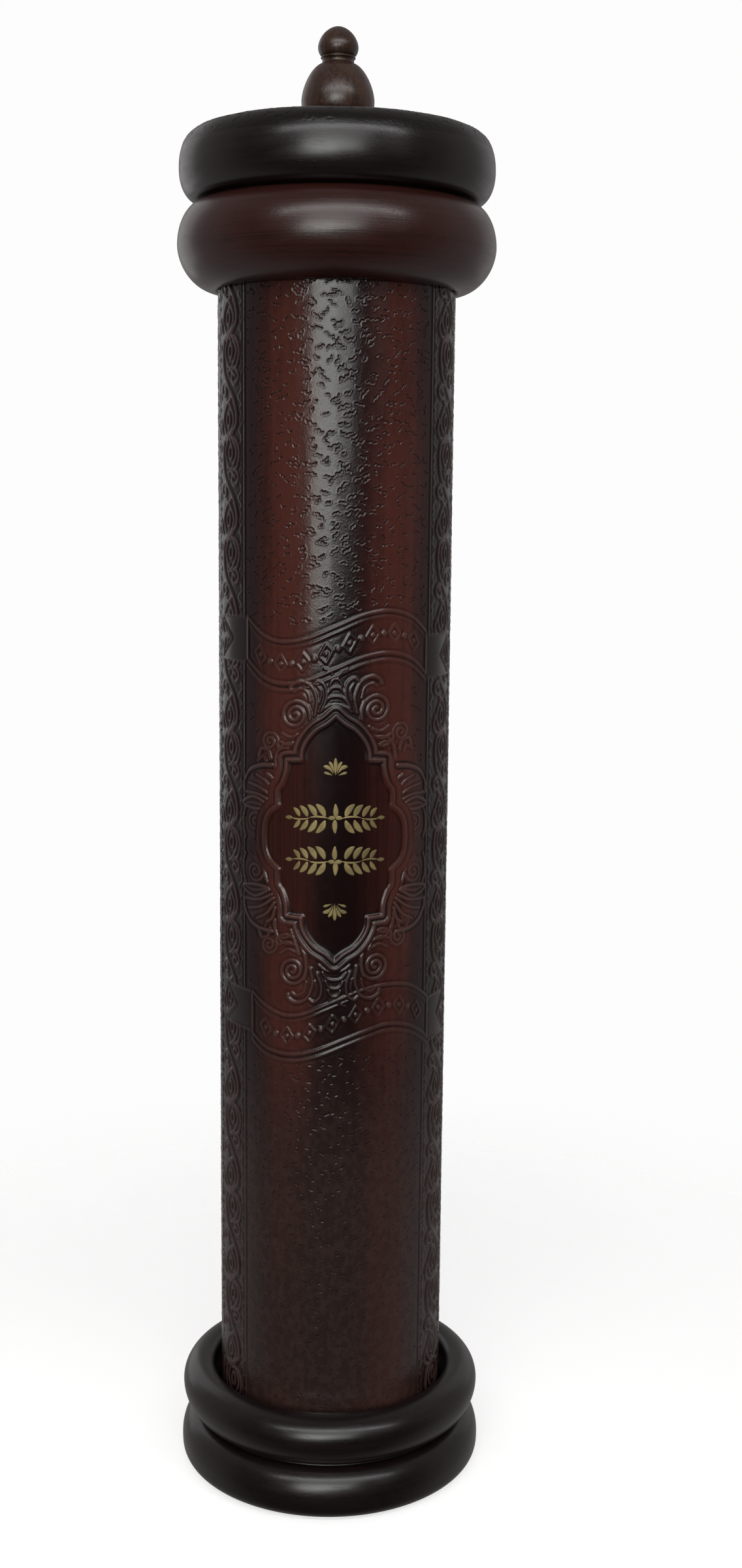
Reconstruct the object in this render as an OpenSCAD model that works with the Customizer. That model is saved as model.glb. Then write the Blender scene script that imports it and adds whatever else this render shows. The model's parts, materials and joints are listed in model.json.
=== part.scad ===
// Round scroll case: a leather covered tube between turned wooden mouldings.
// The case stands on its felt foot at z = 0 and its axis is the Z axis.
// The lid, with its plug and finial, lifts straight up out of the tube, and a
// rolled scroll is let down into the velvet sleeve below it.

/* [Tube] */
// Outer radius of the leather covering
tube_r = 35; // [34:0.1:35.2]
// Thickness of the leather
leather_t = 1.4; // [1:0.1:2]
// Wall thickness of the board tube under the leather
core_wall = 2.95; // [2.5:0.05:3.2]
// Thickness of the velvet sleeve that lines the tube
lining_t = 0.75; // [0.5:0.05:0.8]
// Height at which the covered tube ends, inside the top collar
tube_top_z = 383; // [380:0.5:384]

/* [Base] */
// Crest radius of the lower base moulding
foot_r = 47.5; // [46:0.5:50]
// Height of the crest of the lower base moulding
foot_crest_z = 6.6; // [6:0.1:8]
// Rounding radius of the lower base moulding
foot_round = 10; // [9.8:0.1:11]
// Height of the groove between the two base mouldings
base_groove_z = 16.3; // [16:0.1:16.5]
// Crest radius of the upper base moulding
shoulder_r = 47; // [46:0.5:49]
// Height of the crest of the upper base moulding
shoulder_crest_z = 25; // [24.5:0.1:25.5]
// Rounding radius of the upper base moulding, below its crest
shoulder_round_low = 8.9; // [8.8:0.1:10]
// Rounding radius of the upper base moulding, above its crest
shoulder_round_top = 6.8; // [6:0.1:7.5]
// Rounding radius of the lip that turns in towards the leather
lip_round = 4; // [3.9:0.1:4.5]
// Radius of the recess inside that lip
lip_recess_r = 36.4; // [36.3:0.1:37]
// Radius of the felt pad under the foot
foot_felt_r = 33.4; // [25:0.2:36]
// Thickness of the felt pad
foot_felt_t = 1.5; // [1:0.1:3]
// How far the felt stands below the wood
foot_felt_proud = 0.3; // [0.1:0.1:0.6]
// Thickness of the wooden plug that closes the foot of the tube
base_plug_t = 7.7; // [5:0.1:12]

/* [Top collar] */
// Height of the collar's lower edge
collar_z = 363.5; // [363:0.5:365]
// Crest radius of the collar
collar_r = 46.66; // [46:0.02:48]
// Height of the collar's crest
collar_crest_z = 376.2; // [376:0.1:376.6]
// Rounding radius of the collar
collar_round = 13; // [12.9:0.1:14]
// Radius of the collar's mouth
mouth_r = 30.6; // [30.6:0.1:31.5]

/* [Lid] */
// Height of the joint line between the collar and the lid
lid_z = 388.3; // [388:0.1:388.5]
// Crest radius of the lid
lid_r = 46; // [45:0.5:48]
// Height of the lid's crest
lid_crest_z = 397.4; // [397:0.1:397.6]
// Rounding radius of the lid below its crest
lid_round_low = 9.4; // [9.3:0.1:10.5]
// Rounding radius of the lid above its crest
lid_round_top = 11.2; // [11:0.1:11.4]
// Radius at which the shallow top of the lid starts to rise
crown_r = 38.1; // [37.5:0.1:38.3]
// Height at which it starts to rise
crown_edge_z = 408.1; // [408:0.1:408.2]
// Radius of the flat seat for the finial
seat_r = 11; // [10.7:0.1:13]
// Height of that seat
seat_z = 413.3; // [412:0.1:415]
// Thickness of the leather disc let into the crown
crown_leather_t = 1; // [0.8:0.1:1.4]
// Depth of the plug below the joint line
plug_depth = 18.3; // [12:0.1:30]
// Radius of the plug under the lid
plug_r = 29.3; // [27:0.1:29.5]
// How far the plug is let into the lid
plug_tenon = 2; // [1:0.1:4]
// Room between the lining's upper end and the plug
lining_stop_gap = 1; // [0.5:0.1:3]
// Height of the felt band's lower edge
felt_band_z = 372; // [371:0.5:374]
// Width of the felt band around the plug
felt_band_w = 12; // [8:0.5:14]

/* [Finial] */
// Largest radius of the finial's body
finial_r = 10.6; // [10:0.1:10.6]
// Height of the finial's widest point
finial_wide_z = 416.6; // [416:0.1:417]
// Radius of the curve of the finial's body
finial_curve = 13; // [12.9:0.1:13.2]
// Radius of the finial's neck
neck_r = 4.6; // [4.3:0.1:5]
// Radius of the ball on top
ball_r = 5.9; // [5.5:0.1:6.5]
// Height of the ball's centre
ball_z = 432.1; // [431.8:0.1:432.4]
// Radius of the hidden dowel
dowel_r = 3; // [2:0.5:3.5]
// Height of the dowel's lower end
dowel_z = 402; // [398:0.5:405]
// Length of the dowel
dowel_len = 20; // [16:0.5:21]

/* [Gold foil] */
// Height of the middle of the stamped ornament
foil_z = 207; // [200:0.5:214]
// Half the height of the stamped ornament
foil_half_h = 24; // [20:0.5:26]
// Half the width of the stamped ornament
foil_half_w = 12; // [8:0.5:14]

/* [Fits] */
// Glue line between two nested pieces
glue_gap = 0.05; // [0.02:0.01:0.1]
// Clearance around the leather inside the wooden mouldings
bedding_gap = 0.6; // [0.4:0.1:0.8]
// Clearance around a loose or sliding piece
slide_gap = 0.3; // [0.25:0.05:0.5]
// Thickness of the glued velvet and felt
cloth_t = 1; // [0.8:0.1:1.2]

/* [Hidden] */
$fn = 96;
leather_in_r = tube_r - leather_t;
core_out_r = leather_in_r - glue_gap;
core_in_r = core_out_r - core_wall;
lining_out_r = core_in_r - glue_gap;
lining_in_r = lining_out_r - lining_t;
bedding_r = tube_r + bedding_gap;
floor_z = base_groove_z + base_plug_t;
lining_z = floor_z + cloth_t;
shoulder_top_z = shoulder_crest_z + shoulder_round_top;
plug_z = lid_z - plug_depth;
lining_top_z = plug_z - cloth_t - lining_stop_gap;
foil_t = 0.1;
overshoot = 1;

// Colours of the finishes
ebonised = [0.13, 0.10, 0.10];
red_brown_wood = [0.22, 0.12, 0.10];
walnut = [0.30, 0.21, 0.16];
plain_wood = [0.62, 0.47, 0.32];
leather_brown = [0.25, 0.11, 0.09];
gold = [0.62, 0.52, 0.30];
board_grey = [0.55, 0.49, 0.41];
velvet_red = [0.36, 0.06, 0.08];
felt_black = [0.10, 0.10, 0.10];

// Plain round stock, standing on height z
module disc(r, z, h) {
    translate([0, 0, z]) cylinder(r = r, h = h);
}

// Round tube between two radii, standing on height z
module sleeve(r_out, r_in, z, h) {
    rotate_extrude()
        translate([r_in, z]) square([r_out - r_in, h]);
}

// One side of a rounded moulding: a quarter of a circle that meets the crest upright,
// cut off at height z_end, and the solid stock behind it as far in as inner_r
module rounded_side(crest_r, crest_z, round_r, z_end, inner_r) {
    centre_r = crest_r - round_r;
    z_low = min(crest_z, z_end);
    height = abs(z_end - crest_z);
    intersection() {
        translate([centre_r, crest_z]) circle(r = round_r);
        translate([centre_r, z_low]) square([round_r + overshoot, height]);
    }
    translate([inner_r, z_low]) square([centre_r - inner_r, height]);
}

module base_foot() {
    color(ebonised)
        difference() {
            rotate_extrude() {
                rounded_side(foot_r, foot_crest_z, foot_round, base_groove_z, 0);
                rounded_side(foot_r, foot_crest_z, foot_round, foot_felt_proud, 0);
            }
            disc(foot_felt_r + slide_gap, -overshoot, foot_felt_t + overshoot);
        }
}

module foot_felt() {
    color(felt_black) disc(foot_felt_r, 0, foot_felt_t);
}

// The upper base moulding: its inner lip rolls down into a recess around the leather
module base_collar() {
    lip_r = shoulder_r - shoulder_round_top;
    color(ebonised)
        difference() {
            rotate_extrude() {
                rounded_side(shoulder_r, shoulder_crest_z, shoulder_round_low, base_groove_z, bedding_r);
                rounded_side(shoulder_r, shoulder_crest_z, shoulder_round_top,
                    shoulder_top_z, lip_r - lip_round);
            }
            rotate_extrude()
                difference() {
                    translate([lip_r - lip_round - overshoot, shoulder_top_z - lip_round])
                        square([lip_round + overshoot, lip_round + overshoot]);
                    translate([lip_r, shoulder_top_z - lip_round]) circle(r = lip_round);
                }
            disc(lip_recess_r, shoulder_crest_z, shoulder_round_top + overshoot);
        }
}

module base_plug() {
    color(plain_wood) disc(core_in_r - glue_gap, base_groove_z, base_plug_t);
}

module core_tube() {
    color(board_grey) sleeve(core_out_r, core_in_r, base_groove_z, tube_top_z - base_groove_z);
}

module leather_wrap() {
    color(leather_brown) sleeve(tube_r, leather_in_r, base_groove_z, tube_top_z - base_groove_z);
}

// Stamped ornament: a column of lozenges between two larger ones, cut from a thin shell
module gold_foil() {
    steps = [-1, -0.5, 0, 0.5, 1];
    color(gold)
        intersection() {
            sleeve(tube_r + glue_gap + foil_t, tube_r + glue_gap, foil_z - foil_half_h - overshoot,
                2 * (foil_half_h + overshoot));
            for (i = steps)
                translate([0, -tube_r / 2, foil_z + i * (foil_half_h - foil_half_w / 4)])
                    rotate([90, 0, 0])
                        linear_extrude(height = tube_r)
                            lozenge(foil_half_w * (1 - abs(i) / 2), foil_half_w / 4);
        }
}

module lozenge(half_w, half_h) {
    polygon([[-half_w, 0], [0, -half_h], [half_w, 0], [0, half_h]]);
}

// Lines the tube from the floor cloth up to just below the plug; the roll slides in it
module lining_sleeve() {
    color(velvet_red) sleeve(lining_out_r, lining_in_r, lining_z, lining_top_z - lining_z);
}

module floor_lining() {
    color(velvet_red) disc(lining_out_r, floor_z, cloth_t);
}

// Glued over the end of the tube; its flange covers the tube's rim and forms the mouth
module top_collar() {
    color(red_brown_wood)
        difference() {
            rotate_extrude() {
                rounded_side(collar_r, collar_crest_z, collar_round, lid_z, mouth_r);
                rounded_side(collar_r, collar_crest_z, collar_round, collar_z, mouth_r);
            }
            disc(bedding_r, collar_z - overshoot, tube_top_z - collar_z + overshoot);
        }
}

// The crown's wood is sunk by the thickness of the leather disc that lies on it
module lid_top() {
    color(ebonised)
        difference() {
            rotate_extrude() {
                rounded_side(lid_r, lid_crest_z, lid_round_low, lid_z, 0);
                rounded_side(lid_r, lid_crest_z, lid_round_top, crown_edge_z, 0);
                crown_outline(0, crown_r, crown_edge_z);
            }
            translate([0, 0, -crown_leather_t])
                rotate_extrude()
                    difference() {
                        translate([0, crown_edge_z]) square([crown_r, seat_z]);
                        crown_outline(0, crown_r, crown_edge_z);
                    }
            disc(plug_r + glue_gap, lid_z - overshoot, plug_tenon + overshoot);
            disc(dowel_r + glue_gap, dowel_z, dowel_len);
        }
}

// The shallow crown from an inner to an outer radius, filled down to a flat underside
module crown_outline(in_r, out_r, under_z) {
    polygon([[in_r, under_z], [out_r, under_z], [out_r, crown_edge_z], [seat_r, seat_z], [in_r, seat_z]]);
}

// A shallow domed disc of the same leather as the tube's, let into the top of the lid
module lid_leather() {
    color(leather_brown)
        difference() {
            rotate_extrude()
                crown_outline(dowel_r + glue_gap, crown_r - glue_gap, crown_edge_z - crown_leather_t);
            translate([0, 0, -crown_leather_t])
                rotate_extrude()
                    crown_outline(0, crown_r, crown_edge_z - crown_leather_t);
        }
}

module lid_plug() {
    color(plain_wood) disc(plug_r, plug_z, plug_depth + plug_tenon);
}

module plug_felt() {
    color(felt_black) sleeve(core_in_r - slide_gap, plug_r + glue_gap, felt_band_z, felt_band_w);
}

module plug_lining() {
    color(velvet_red) disc(plug_r - glue_gap, plug_z - cloth_t, cloth_t);
}

// A turned vase with a ball on its neck
module finial() {
    color(walnut)
        difference() {
            rotate_extrude() {
                intersection() {
                    translate([finial_r - finial_curve, finial_wide_z]) circle(r = finial_curve);
                    translate([0, seat_z]) square([finial_r + overshoot, ball_z - seat_z]);
                }
                translate([0, finial_wide_z]) square([neck_r, ball_z - finial_wide_z]);
                intersection() {
                    translate([0, ball_z]) circle(r = ball_r);
                    translate([0, ball_z - ball_r]) square([ball_r + overshoot, 2 * ball_r]);
                }
            }
            disc(dowel_r + glue_gap, seat_z - overshoot, dowel_z + dowel_len - seat_z + overshoot);
        }
}

module finial_dowel() {
    color(plain_wood) disc(dowel_r, dowel_z, dowel_len);
}

base_foot();
base_collar();
base_plug();
foot_felt();
core_tube();
leather_wrap();
gold_foil();
lining_sleeve();
floor_lining();
top_collar();
lid_top();
lid_leather();
lid_plug();
plug_felt();
plug_lining();
finial();
finial_dowel();
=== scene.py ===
"""Round scroll case: turned mouldings, a tooled leather tube, gold foil, and a lid with a plug.

Lengths inside the functions are millimetres in the frame's own axes: z runs up the case, and
on the leather u runs round the tube from the front towards +X.
"""

import json

import bpy
import numpy as np
from mathutils import Euler, Matrix, Vector


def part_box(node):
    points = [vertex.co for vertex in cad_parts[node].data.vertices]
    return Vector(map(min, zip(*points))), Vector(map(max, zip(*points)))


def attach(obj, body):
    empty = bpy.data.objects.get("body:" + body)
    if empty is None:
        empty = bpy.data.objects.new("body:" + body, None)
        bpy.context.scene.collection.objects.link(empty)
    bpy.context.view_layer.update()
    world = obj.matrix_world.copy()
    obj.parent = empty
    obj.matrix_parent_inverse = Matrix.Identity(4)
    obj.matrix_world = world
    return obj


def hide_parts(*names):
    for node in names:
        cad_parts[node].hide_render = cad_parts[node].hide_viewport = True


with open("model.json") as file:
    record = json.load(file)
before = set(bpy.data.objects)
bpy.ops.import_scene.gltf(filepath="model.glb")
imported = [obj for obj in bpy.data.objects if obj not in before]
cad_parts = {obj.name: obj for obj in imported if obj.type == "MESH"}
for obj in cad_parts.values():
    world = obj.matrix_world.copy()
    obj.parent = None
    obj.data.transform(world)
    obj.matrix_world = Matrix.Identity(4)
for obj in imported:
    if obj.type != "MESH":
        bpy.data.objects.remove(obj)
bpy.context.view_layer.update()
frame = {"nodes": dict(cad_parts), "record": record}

bl_info = {
    "name": "Scroll Case",
    "version": (1, 0, 0),
    "blender": (4, 5, 0),
    "location": "View3D > Sidebar > Scroll Case",
    "description": "Builds a leather covered scroll case with a lift-off lid around its solid frame",
    "category": "Object",
}

MM = 0.001
FULL_TURN = 2 * np.pi

# Gap between two pieces that are glued together
GLUE = 0.05

# Points along the curve that eases a corner, and with the runs of straight beside it
EASE_STEPS = 5
CORNER_POINTS = EASE_STEPS + 2


def span(node):
    """Lowest height, highest height and outer radius of a solid of the frame, in millimetres."""
    low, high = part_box(node)
    return low.z / MM, high.z / MM, high.x / MM


FOOT_LOW, FOOT_HIGH, FOOT_R = span("base_foot")
FELT_LOW, FELT_HIGH, FELT_R = span("foot_felt")
SHOULDER_LOW, SHOULDER_HIGH, SHOULDER_R = span("base_collar")
TUBE_LOW, TUBE_HIGH, TUBE_R = span("leather_wrap")
BOARD_R = span("core_tube")[2]
COLLAR_LOW, COLLAR_HIGH, COLLAR_R = span("top_collar")
SLEEVE_LOW, SLEEVE_HIGH, SLEEVE_R = span("lining_sleeve")
FLOOR_LOW, FLOOR_HIGH, FLOOR_R = span("floor_lining")
LID_LOW, _, LID_R = span("lid_top")
CROWN_HIGH = span("lid_leather")[1]
PLUG_LOW, PLUG_HIGH, PLUG_R = span("lid_plug")
BAND_LOW, BAND_HIGH, BAND_R = span("plug_felt")
CLOTH_LOW, CLOTH_HIGH, CLOTH_R = span("plug_lining")
FINIAL_LOW, FINIAL_HIGH, FINIAL_R = span("finial")
DOWEL_LOW, DOWEL_HIGH, DOWEL_R = span("finial_dowel")
FOIL_LOW, FOIL_HIGH, _ = span("gold_foil")
BORE_R = next(m for m in frame["record"]["mounts"] if m["name"] == "scroll_bore")["dims"]["r_mm"]
BOARD_IN_R = SLEEVE_R + GLUE

# Radius of the wooden bore that the covered tube is bedded in
BEDDING_R = TUBE_R + 0.6

# The leather on the lid: its thickness, the radius where it starts on the rounding of the rim,
# and the radius inside which it lies level under the finial
CROWN_LEATHER = 0.6
LEATHER_RIM_R = 45.4
CROWN_SEAT_R = 11.0

# How far the leather's plain surface lies under the tube's outer radius
LEATHER_REST = 0.12

# The tooling is drawn about the middle of the cartouche, whose half height is about 37
CENTRE_U = 0.5
CENTRE_Z = (FOIL_LOW + FOIL_HIGH) / 2 - 0.5

# Edges of the plain front panel from there, and of the tooled bands from the front line
PANEL_LEFT, PANEL_RIGHT = -30.0, 30.9
FRONT_LEFT, FRONT_RIGHT = PANEL_LEFT + CENTRE_U, PANEL_RIGHT + CENTRE_U
BAND_LEFT, BAND_RIGHT = -45.6, 47.0
SEAM = BAND_RIGHT + (FULL_TURN * TUBE_R + BAND_LEFT - BAND_RIGHT) / 2
BACK_END = BAND_LEFT + FULL_TURN * TUBE_R


# ---------------------------------------------------------------- sizes and colours

def length(name, description, default, low, high):
    """A length that the sidebar shows in the scene's units, given here in millimetres."""
    return bpy.props.FloatProperty(
        name=name, description=description, default=default * MM, min=low * MM, max=high * MM,
        precision=4, subtype="DISTANCE", unit="LENGTH")


def tone(name, description, default):
    """A colour that the sidebar shows as a swatch."""
    return bpy.props.FloatVectorProperty(
        name=name, description=description, default=default, size=3, min=0, max=1, subtype="COLOR")


class ScrollCaseTurning(bpy.types.PropertyGroup):
    """Heights and radii that shape the turned mouldings."""

    foot_crest: length("Foot crest", "Height of the widest line of the lower moulding", 6.6, 5, 9)
    shoulder_crest: length(
        "Shoulder crest", "Height of the widest line of the upper base moulding", 25, 23, 27)
    groove_r: length("Base groove", "Radius of the groove between the base mouldings", 39.9, 38, 42)
    lip_r: length("Lip", "Radius of the crown of the lip round the leather", 40.4, 39, 42)
    collar_crest: length("Collar crest", "Height of the widest line of the top collar", 376.2, 374, 378)
    collar_groove_r: length("Lid groove", "Radius of the groove between collar and lid", 38.95, 37, 41)
    mouth_r: length("Mouth", "Radius of the mouth in the top collar", 30.6, 30.6, 31)
    lid_crest: length("Lid crest", "Height of the widest line of the lid", 397.4, 395, 400)
    crown_r: length("Crown edge", "Radius at which the lid's crown starts", 38.1, 37, 39)
    crown_edge: length("Crown edge height", "Height at which the lid's crown starts", 408.1, 407, 409)
    neck_r: length("Finial neck", "Radius of the finial's neck", 4.6, 4, 5)
    ball_r: length("Finial ball", "Radius of the ball on the finial", 5.85, 5, 6)
    segments: bpy.props.IntProperty(
        name="Segments", description="Flat strips round each turned moulding", default=288,
        min=48, max=512)


class ScrollCaseTooling(bpy.types.PropertyGroup):
    """Sizes of the relief pressed into the leather."""

    line_height: length("Line height", "Height of the raised tooling lines", 0.46, 0.1, 0.8)
    line_width: length("Line width", "Half width of the raised tooling lines", 0.54, 0.2, 1)
    moat: length("Moat depth", "Depth of the dip on both sides of a raised line", 0.21, 0, 0.4)
    field_depth: length("Field depth", "Depth of the smooth centre field", 0.3, 0, 0.6)
    crackle_depth: length(
        "Crackle depth", "Depth of the crackle strokes at the top of the case", 0.25, 0, 0.5)
    crackle_spacing: length("Crackle spacing", "Distance between crackle strokes", 3.1, 2, 8)
    seed: bpy.props.IntProperty(
        name="Crackle seed", description="Changes the places of the crackle strokes", default=7,
        min=0, max=999)


class ScrollCaseColours(bpy.types.PropertyGroup):
    """Colours of the finishes."""

    leather: tone("Leather", "Dye where the leather is worn bright", (0.084, 0.0235, 0.0175))
    # The dark leather also stands for painted shade in the hollows and for the painted dark reflection
    # down the middle of the front
    leather_dark: tone(
        "Dark leather", "Dye in the hollows and along the dark streaks", (0.009, 0.0028, 0.0030))
    leather_brown: tone(
        "Brown leather", "Ground of the leather towards the base", (0.030, 0.0174, 0.0154))
    ebonised: tone("Ebonised wood", "Lid and base mouldings", (0.0052, 0.0028, 0.0028))
    collar: tone("Collar wood", "Red brown stain of the top collar", (0.0140, 0.0038, 0.0029))
    walnut: tone("Walnut", "Finial", (0.034, 0.0155, 0.0098))
    plain_wood: tone("Plain wood", "Plugs and dowel", (0.40, 0.25, 0.13))
    board: tone("Board", "Wound board of the tube", (0.33, 0.25, 0.17))
    gold: tone("Gold", "Stamped foil", (0.31, 0.242, 0.105))
    velvet: tone("Velvet", "Lining", (0.11, 0.008, 0.014))
    felt: tone("Felt", "Foot and plug band", (0.018, 0.017, 0.018))
    floor: tone("Floor", "Studio floor", (0.84, 0.84, 0.84))


# ---------------------------------------------------------------- outlines and meshes

def quarter(crest, end, power, count=28):
    """A quarter of a superellipse from its crest, where it runs upright, to its level end.

    With a turn t from 0 to a right angle, the radius goes from the end's to the crest's with
    cos(t) to the power 2/p, and the height from the crest's to the end's with sin(t) to 2/p.
    """
    turn = np.linspace(0, np.pi / 2, count)
    r = end[0] + (crest[0] - end[0]) * np.cos(turn).clip(0) ** (2 / power)
    z = crest[1] + (end[1] - crest[1]) * np.sin(turn) ** (2 / power)
    return np.stack([r, z], -1)


def rounded(corners, radius, closed=True):
    """An outline whose corners are eased by quadratic curves that start radius before them.

    On each corner c, with b and a the points at that distance before and after it, the curve is
    (1-t)^2 b + 2t(1-t) c + t^2 a. A little run of straight on both sides keeps the flats flat.
    The ends of an outline that isn't closed stay sharp.
    """
    corner = np.asarray(corners, float)
    middle = corner if closed else corner[1:-1]
    back = (np.roll(corner, 1, 0) if closed else corner[:-2]) - middle
    ahead = (np.roll(corner, -1, 0) if closed else corner[2:]) - middle
    back /= np.linalg.norm(back, axis=1, keepdims=True)
    ahead /= np.linalg.norm(ahead, axis=1, keepdims=True)
    t = np.linspace(0, 1, EASE_STEPS)[None, :, None]
    before, after = (middle + radius * back)[:, None], (middle + radius * ahead)[:, None]
    curve = (1 - t) ** 2 * before + 2 * t * (1 - t) * middle[:, None] + t ** 2 * after
    lead = radius * 0.3
    first, last = before + lead * back[:, None], after + lead * ahead[:, None]
    eased = np.concatenate([first, curve, last], axis=1)
    eased = eased.reshape(-1, 2)
    return eased if closed else np.concatenate([corner[:1], eased, corner[-1:]])


def smooth_curve(points, steps=6):
    """Smooth curve through the points: each stretch is the cubic whose slope at a point is half
    the step between that point's neighbours."""
    p = np.asarray(points, float)
    p = np.concatenate([2 * p[:1] - p[1:2], p, 2 * p[-1:] - p[-2:-1]])
    t = np.linspace(0, 1, steps, endpoint=False)[None, :, None]
    a, b, c, d = p[:-3, None], p[1:-2, None], p[2:-1, None], p[3:, None]
    square, cube = 2 * a - 5 * b + 4 * c - d, 3 * b - a - 3 * c + d
    curve = 0.5 * (2 * b + (c - a) * t + square * t ** 2 + cube * t ** 3)
    return np.concatenate([curve.reshape(-1, p.shape[1]), p[-2:-1]])


def make_piece(name, points, faces, flat_faces=(), marks=None):
    """Puts points in millimetres and arrays of faces into a mesh object at the origin.

    faces is a list of integer arrays with one face to a row, and flat_faces a list of single
    faces of any size that are shaded flat, up to crisp edges. marks are named numbers, one to a
    point.
    """
    mesh = bpy.data.meshes.new(name)
    mesh.vertices.add(len(points))
    mesh.vertices.foreach_set("co", (np.asarray(points, np.float32) * MM).ravel())
    sizes = np.concatenate(
        [np.full(len(f), f.shape[1]) for f in faces] + [[len(f)] for f in flat_faces])
    corners = np.concatenate([f.ravel() for f in faces] + list(flat_faces)).astype(np.int32)
    mesh.loops.add(len(corners))
    mesh.loops.foreach_set("vertex_index", corners)
    mesh.polygons.add(len(sizes))
    starts = np.concatenate([[0], np.cumsum(sizes)[:-1]]).astype(np.int32)
    mesh.polygons.foreach_set("loop_start", starts)
    smooth = np.arange(len(sizes)) < len(sizes) - len(flat_faces)
    mesh.polygons.foreach_set("use_smooth", smooth)
    for mark, values in (marks or {}).items():
        layer = mesh.attributes.new(mark, "FLOAT", "POINT")
        layer.data.foreach_set("value", np.asarray(values, np.float32))
    mesh.update(calc_edges=True)
    if mesh.validate():
        raise RuntimeError(f"{name} has faces that don't hold together")
    if flat_faces:
        edges = np.empty(len(corners), np.int32)
        mesh.loops.foreach_get("edge_index", edges)
        crisp = np.zeros(len(mesh.edges), bool)
        crisp[edges[-sum(len(f) for f in flat_faces):]] = True
        mesh.edges.foreach_set("use_edge_sharp", crisp)
    piece = bpy.data.objects.new(name, mesh)
    bpy.context.scene.collection.objects.link(piece)
    return piece


def wrapped_quads(rows, columns, closed_rows=False):
    """Quads of a grid that is closed round its columns, and round its rows too if closed_rows."""
    i = np.arange(rows if closed_rows else rows - 1)[:, None]
    j = np.arange(columns)[None, :]
    up, on = (i + 1) % rows, (j + 1) % columns
    corners = (i * columns + j, i * columns + on, up * columns + on, up * columns + j)
    return np.stack(np.broadcast_arrays(*corners), -1).reshape(-1, 4)


def tipped_shell(rings, low_tip, high_tip):
    """Points and faces of a shell of rings that closes in a fan of triangles at each tip."""
    rows, columns = rings.shape[:2]
    points = np.concatenate([rings.reshape(-1, 3), [low_tip, high_tip]])
    j = np.arange(columns)
    on = (j + 1) % columns
    last, low, high = (rows - 1) * columns, rows * columns, rows * columns + 1
    fans = np.concatenate([np.stack([np.full_like(j, low), on, j], -1),
                           np.stack([np.full_like(j, high), last + j, last + on], -1)])
    return points, [wrapped_quads(rows, columns), fans]


def turned(name, outline, segments, ripple=None):
    """Carries an outline of (radius, height) round the z axis.

    The outline runs anticlockwise with the radius to the right, so the faces look outwards. Point
    (i, j) is (r_i cos a_j, r_i sin a_j, z_i). An outline that starts and ends on the axis closes
    there; any other is closed on itself. ripple(radius, height, angle) adds to the radius.
    """
    outline = np.asarray(outline, float)
    outline = outline[np.insert(np.abs(np.diff(outline, axis=0)).max(1) > 1e-6, 0, True)]
    solid = outline[0, 0] < 1e-9
    if not solid and np.abs(outline[0] - outline[-1]).max() < 1e-6:
        outline = outline[:-1]
    profile = outline[1:-1] if solid else outline
    angle = np.linspace(0, FULL_TURN, segments, endpoint=False)[None, :]
    r, z = np.broadcast_arrays(profile[:, :1], profile[:, 1:] + 0 * angle)
    r = r + (ripple(r, z, angle) if ripple else 0)
    rings = np.stack([r * np.cos(angle), r * np.sin(angle), z], -1)
    if solid:
        return make_piece(name, *tipped_shell(rings, [0, 0, outline[0, 1]], [0, 0, outline[-1, 1]]))
    return make_piece(name, rings.reshape(-1, 3), [wrapped_quads(*r.shape, closed_rows=True)])


# ---------------------------------------------------------------- tooling of the leather

def spiral(centre, outer, inner, start, turns):
    """A spiral line: its radius goes evenly from outer to inner while its angle, from start in
    degrees, goes through the turns, clockwise where they are negative."""
    points_per_turn = 20
    t = np.linspace(0, 1, max(8, int(abs(turns) * points_per_turn)))
    angle = np.radians(start) + FULL_TURN * turns * t
    radius = outer + (inner - outer) * t
    return np.stack([centre[0] + radius * np.cos(angle), centre[1] + radius * np.sin(angle)], -1)


def mirrored(path, across=True, down=False):
    """The path mirrored left to right, upside down, or both, about the middle of the cartouche."""
    return np.asarray(path, float) * [-1 if across else 1, -1 if down else 1]


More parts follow.
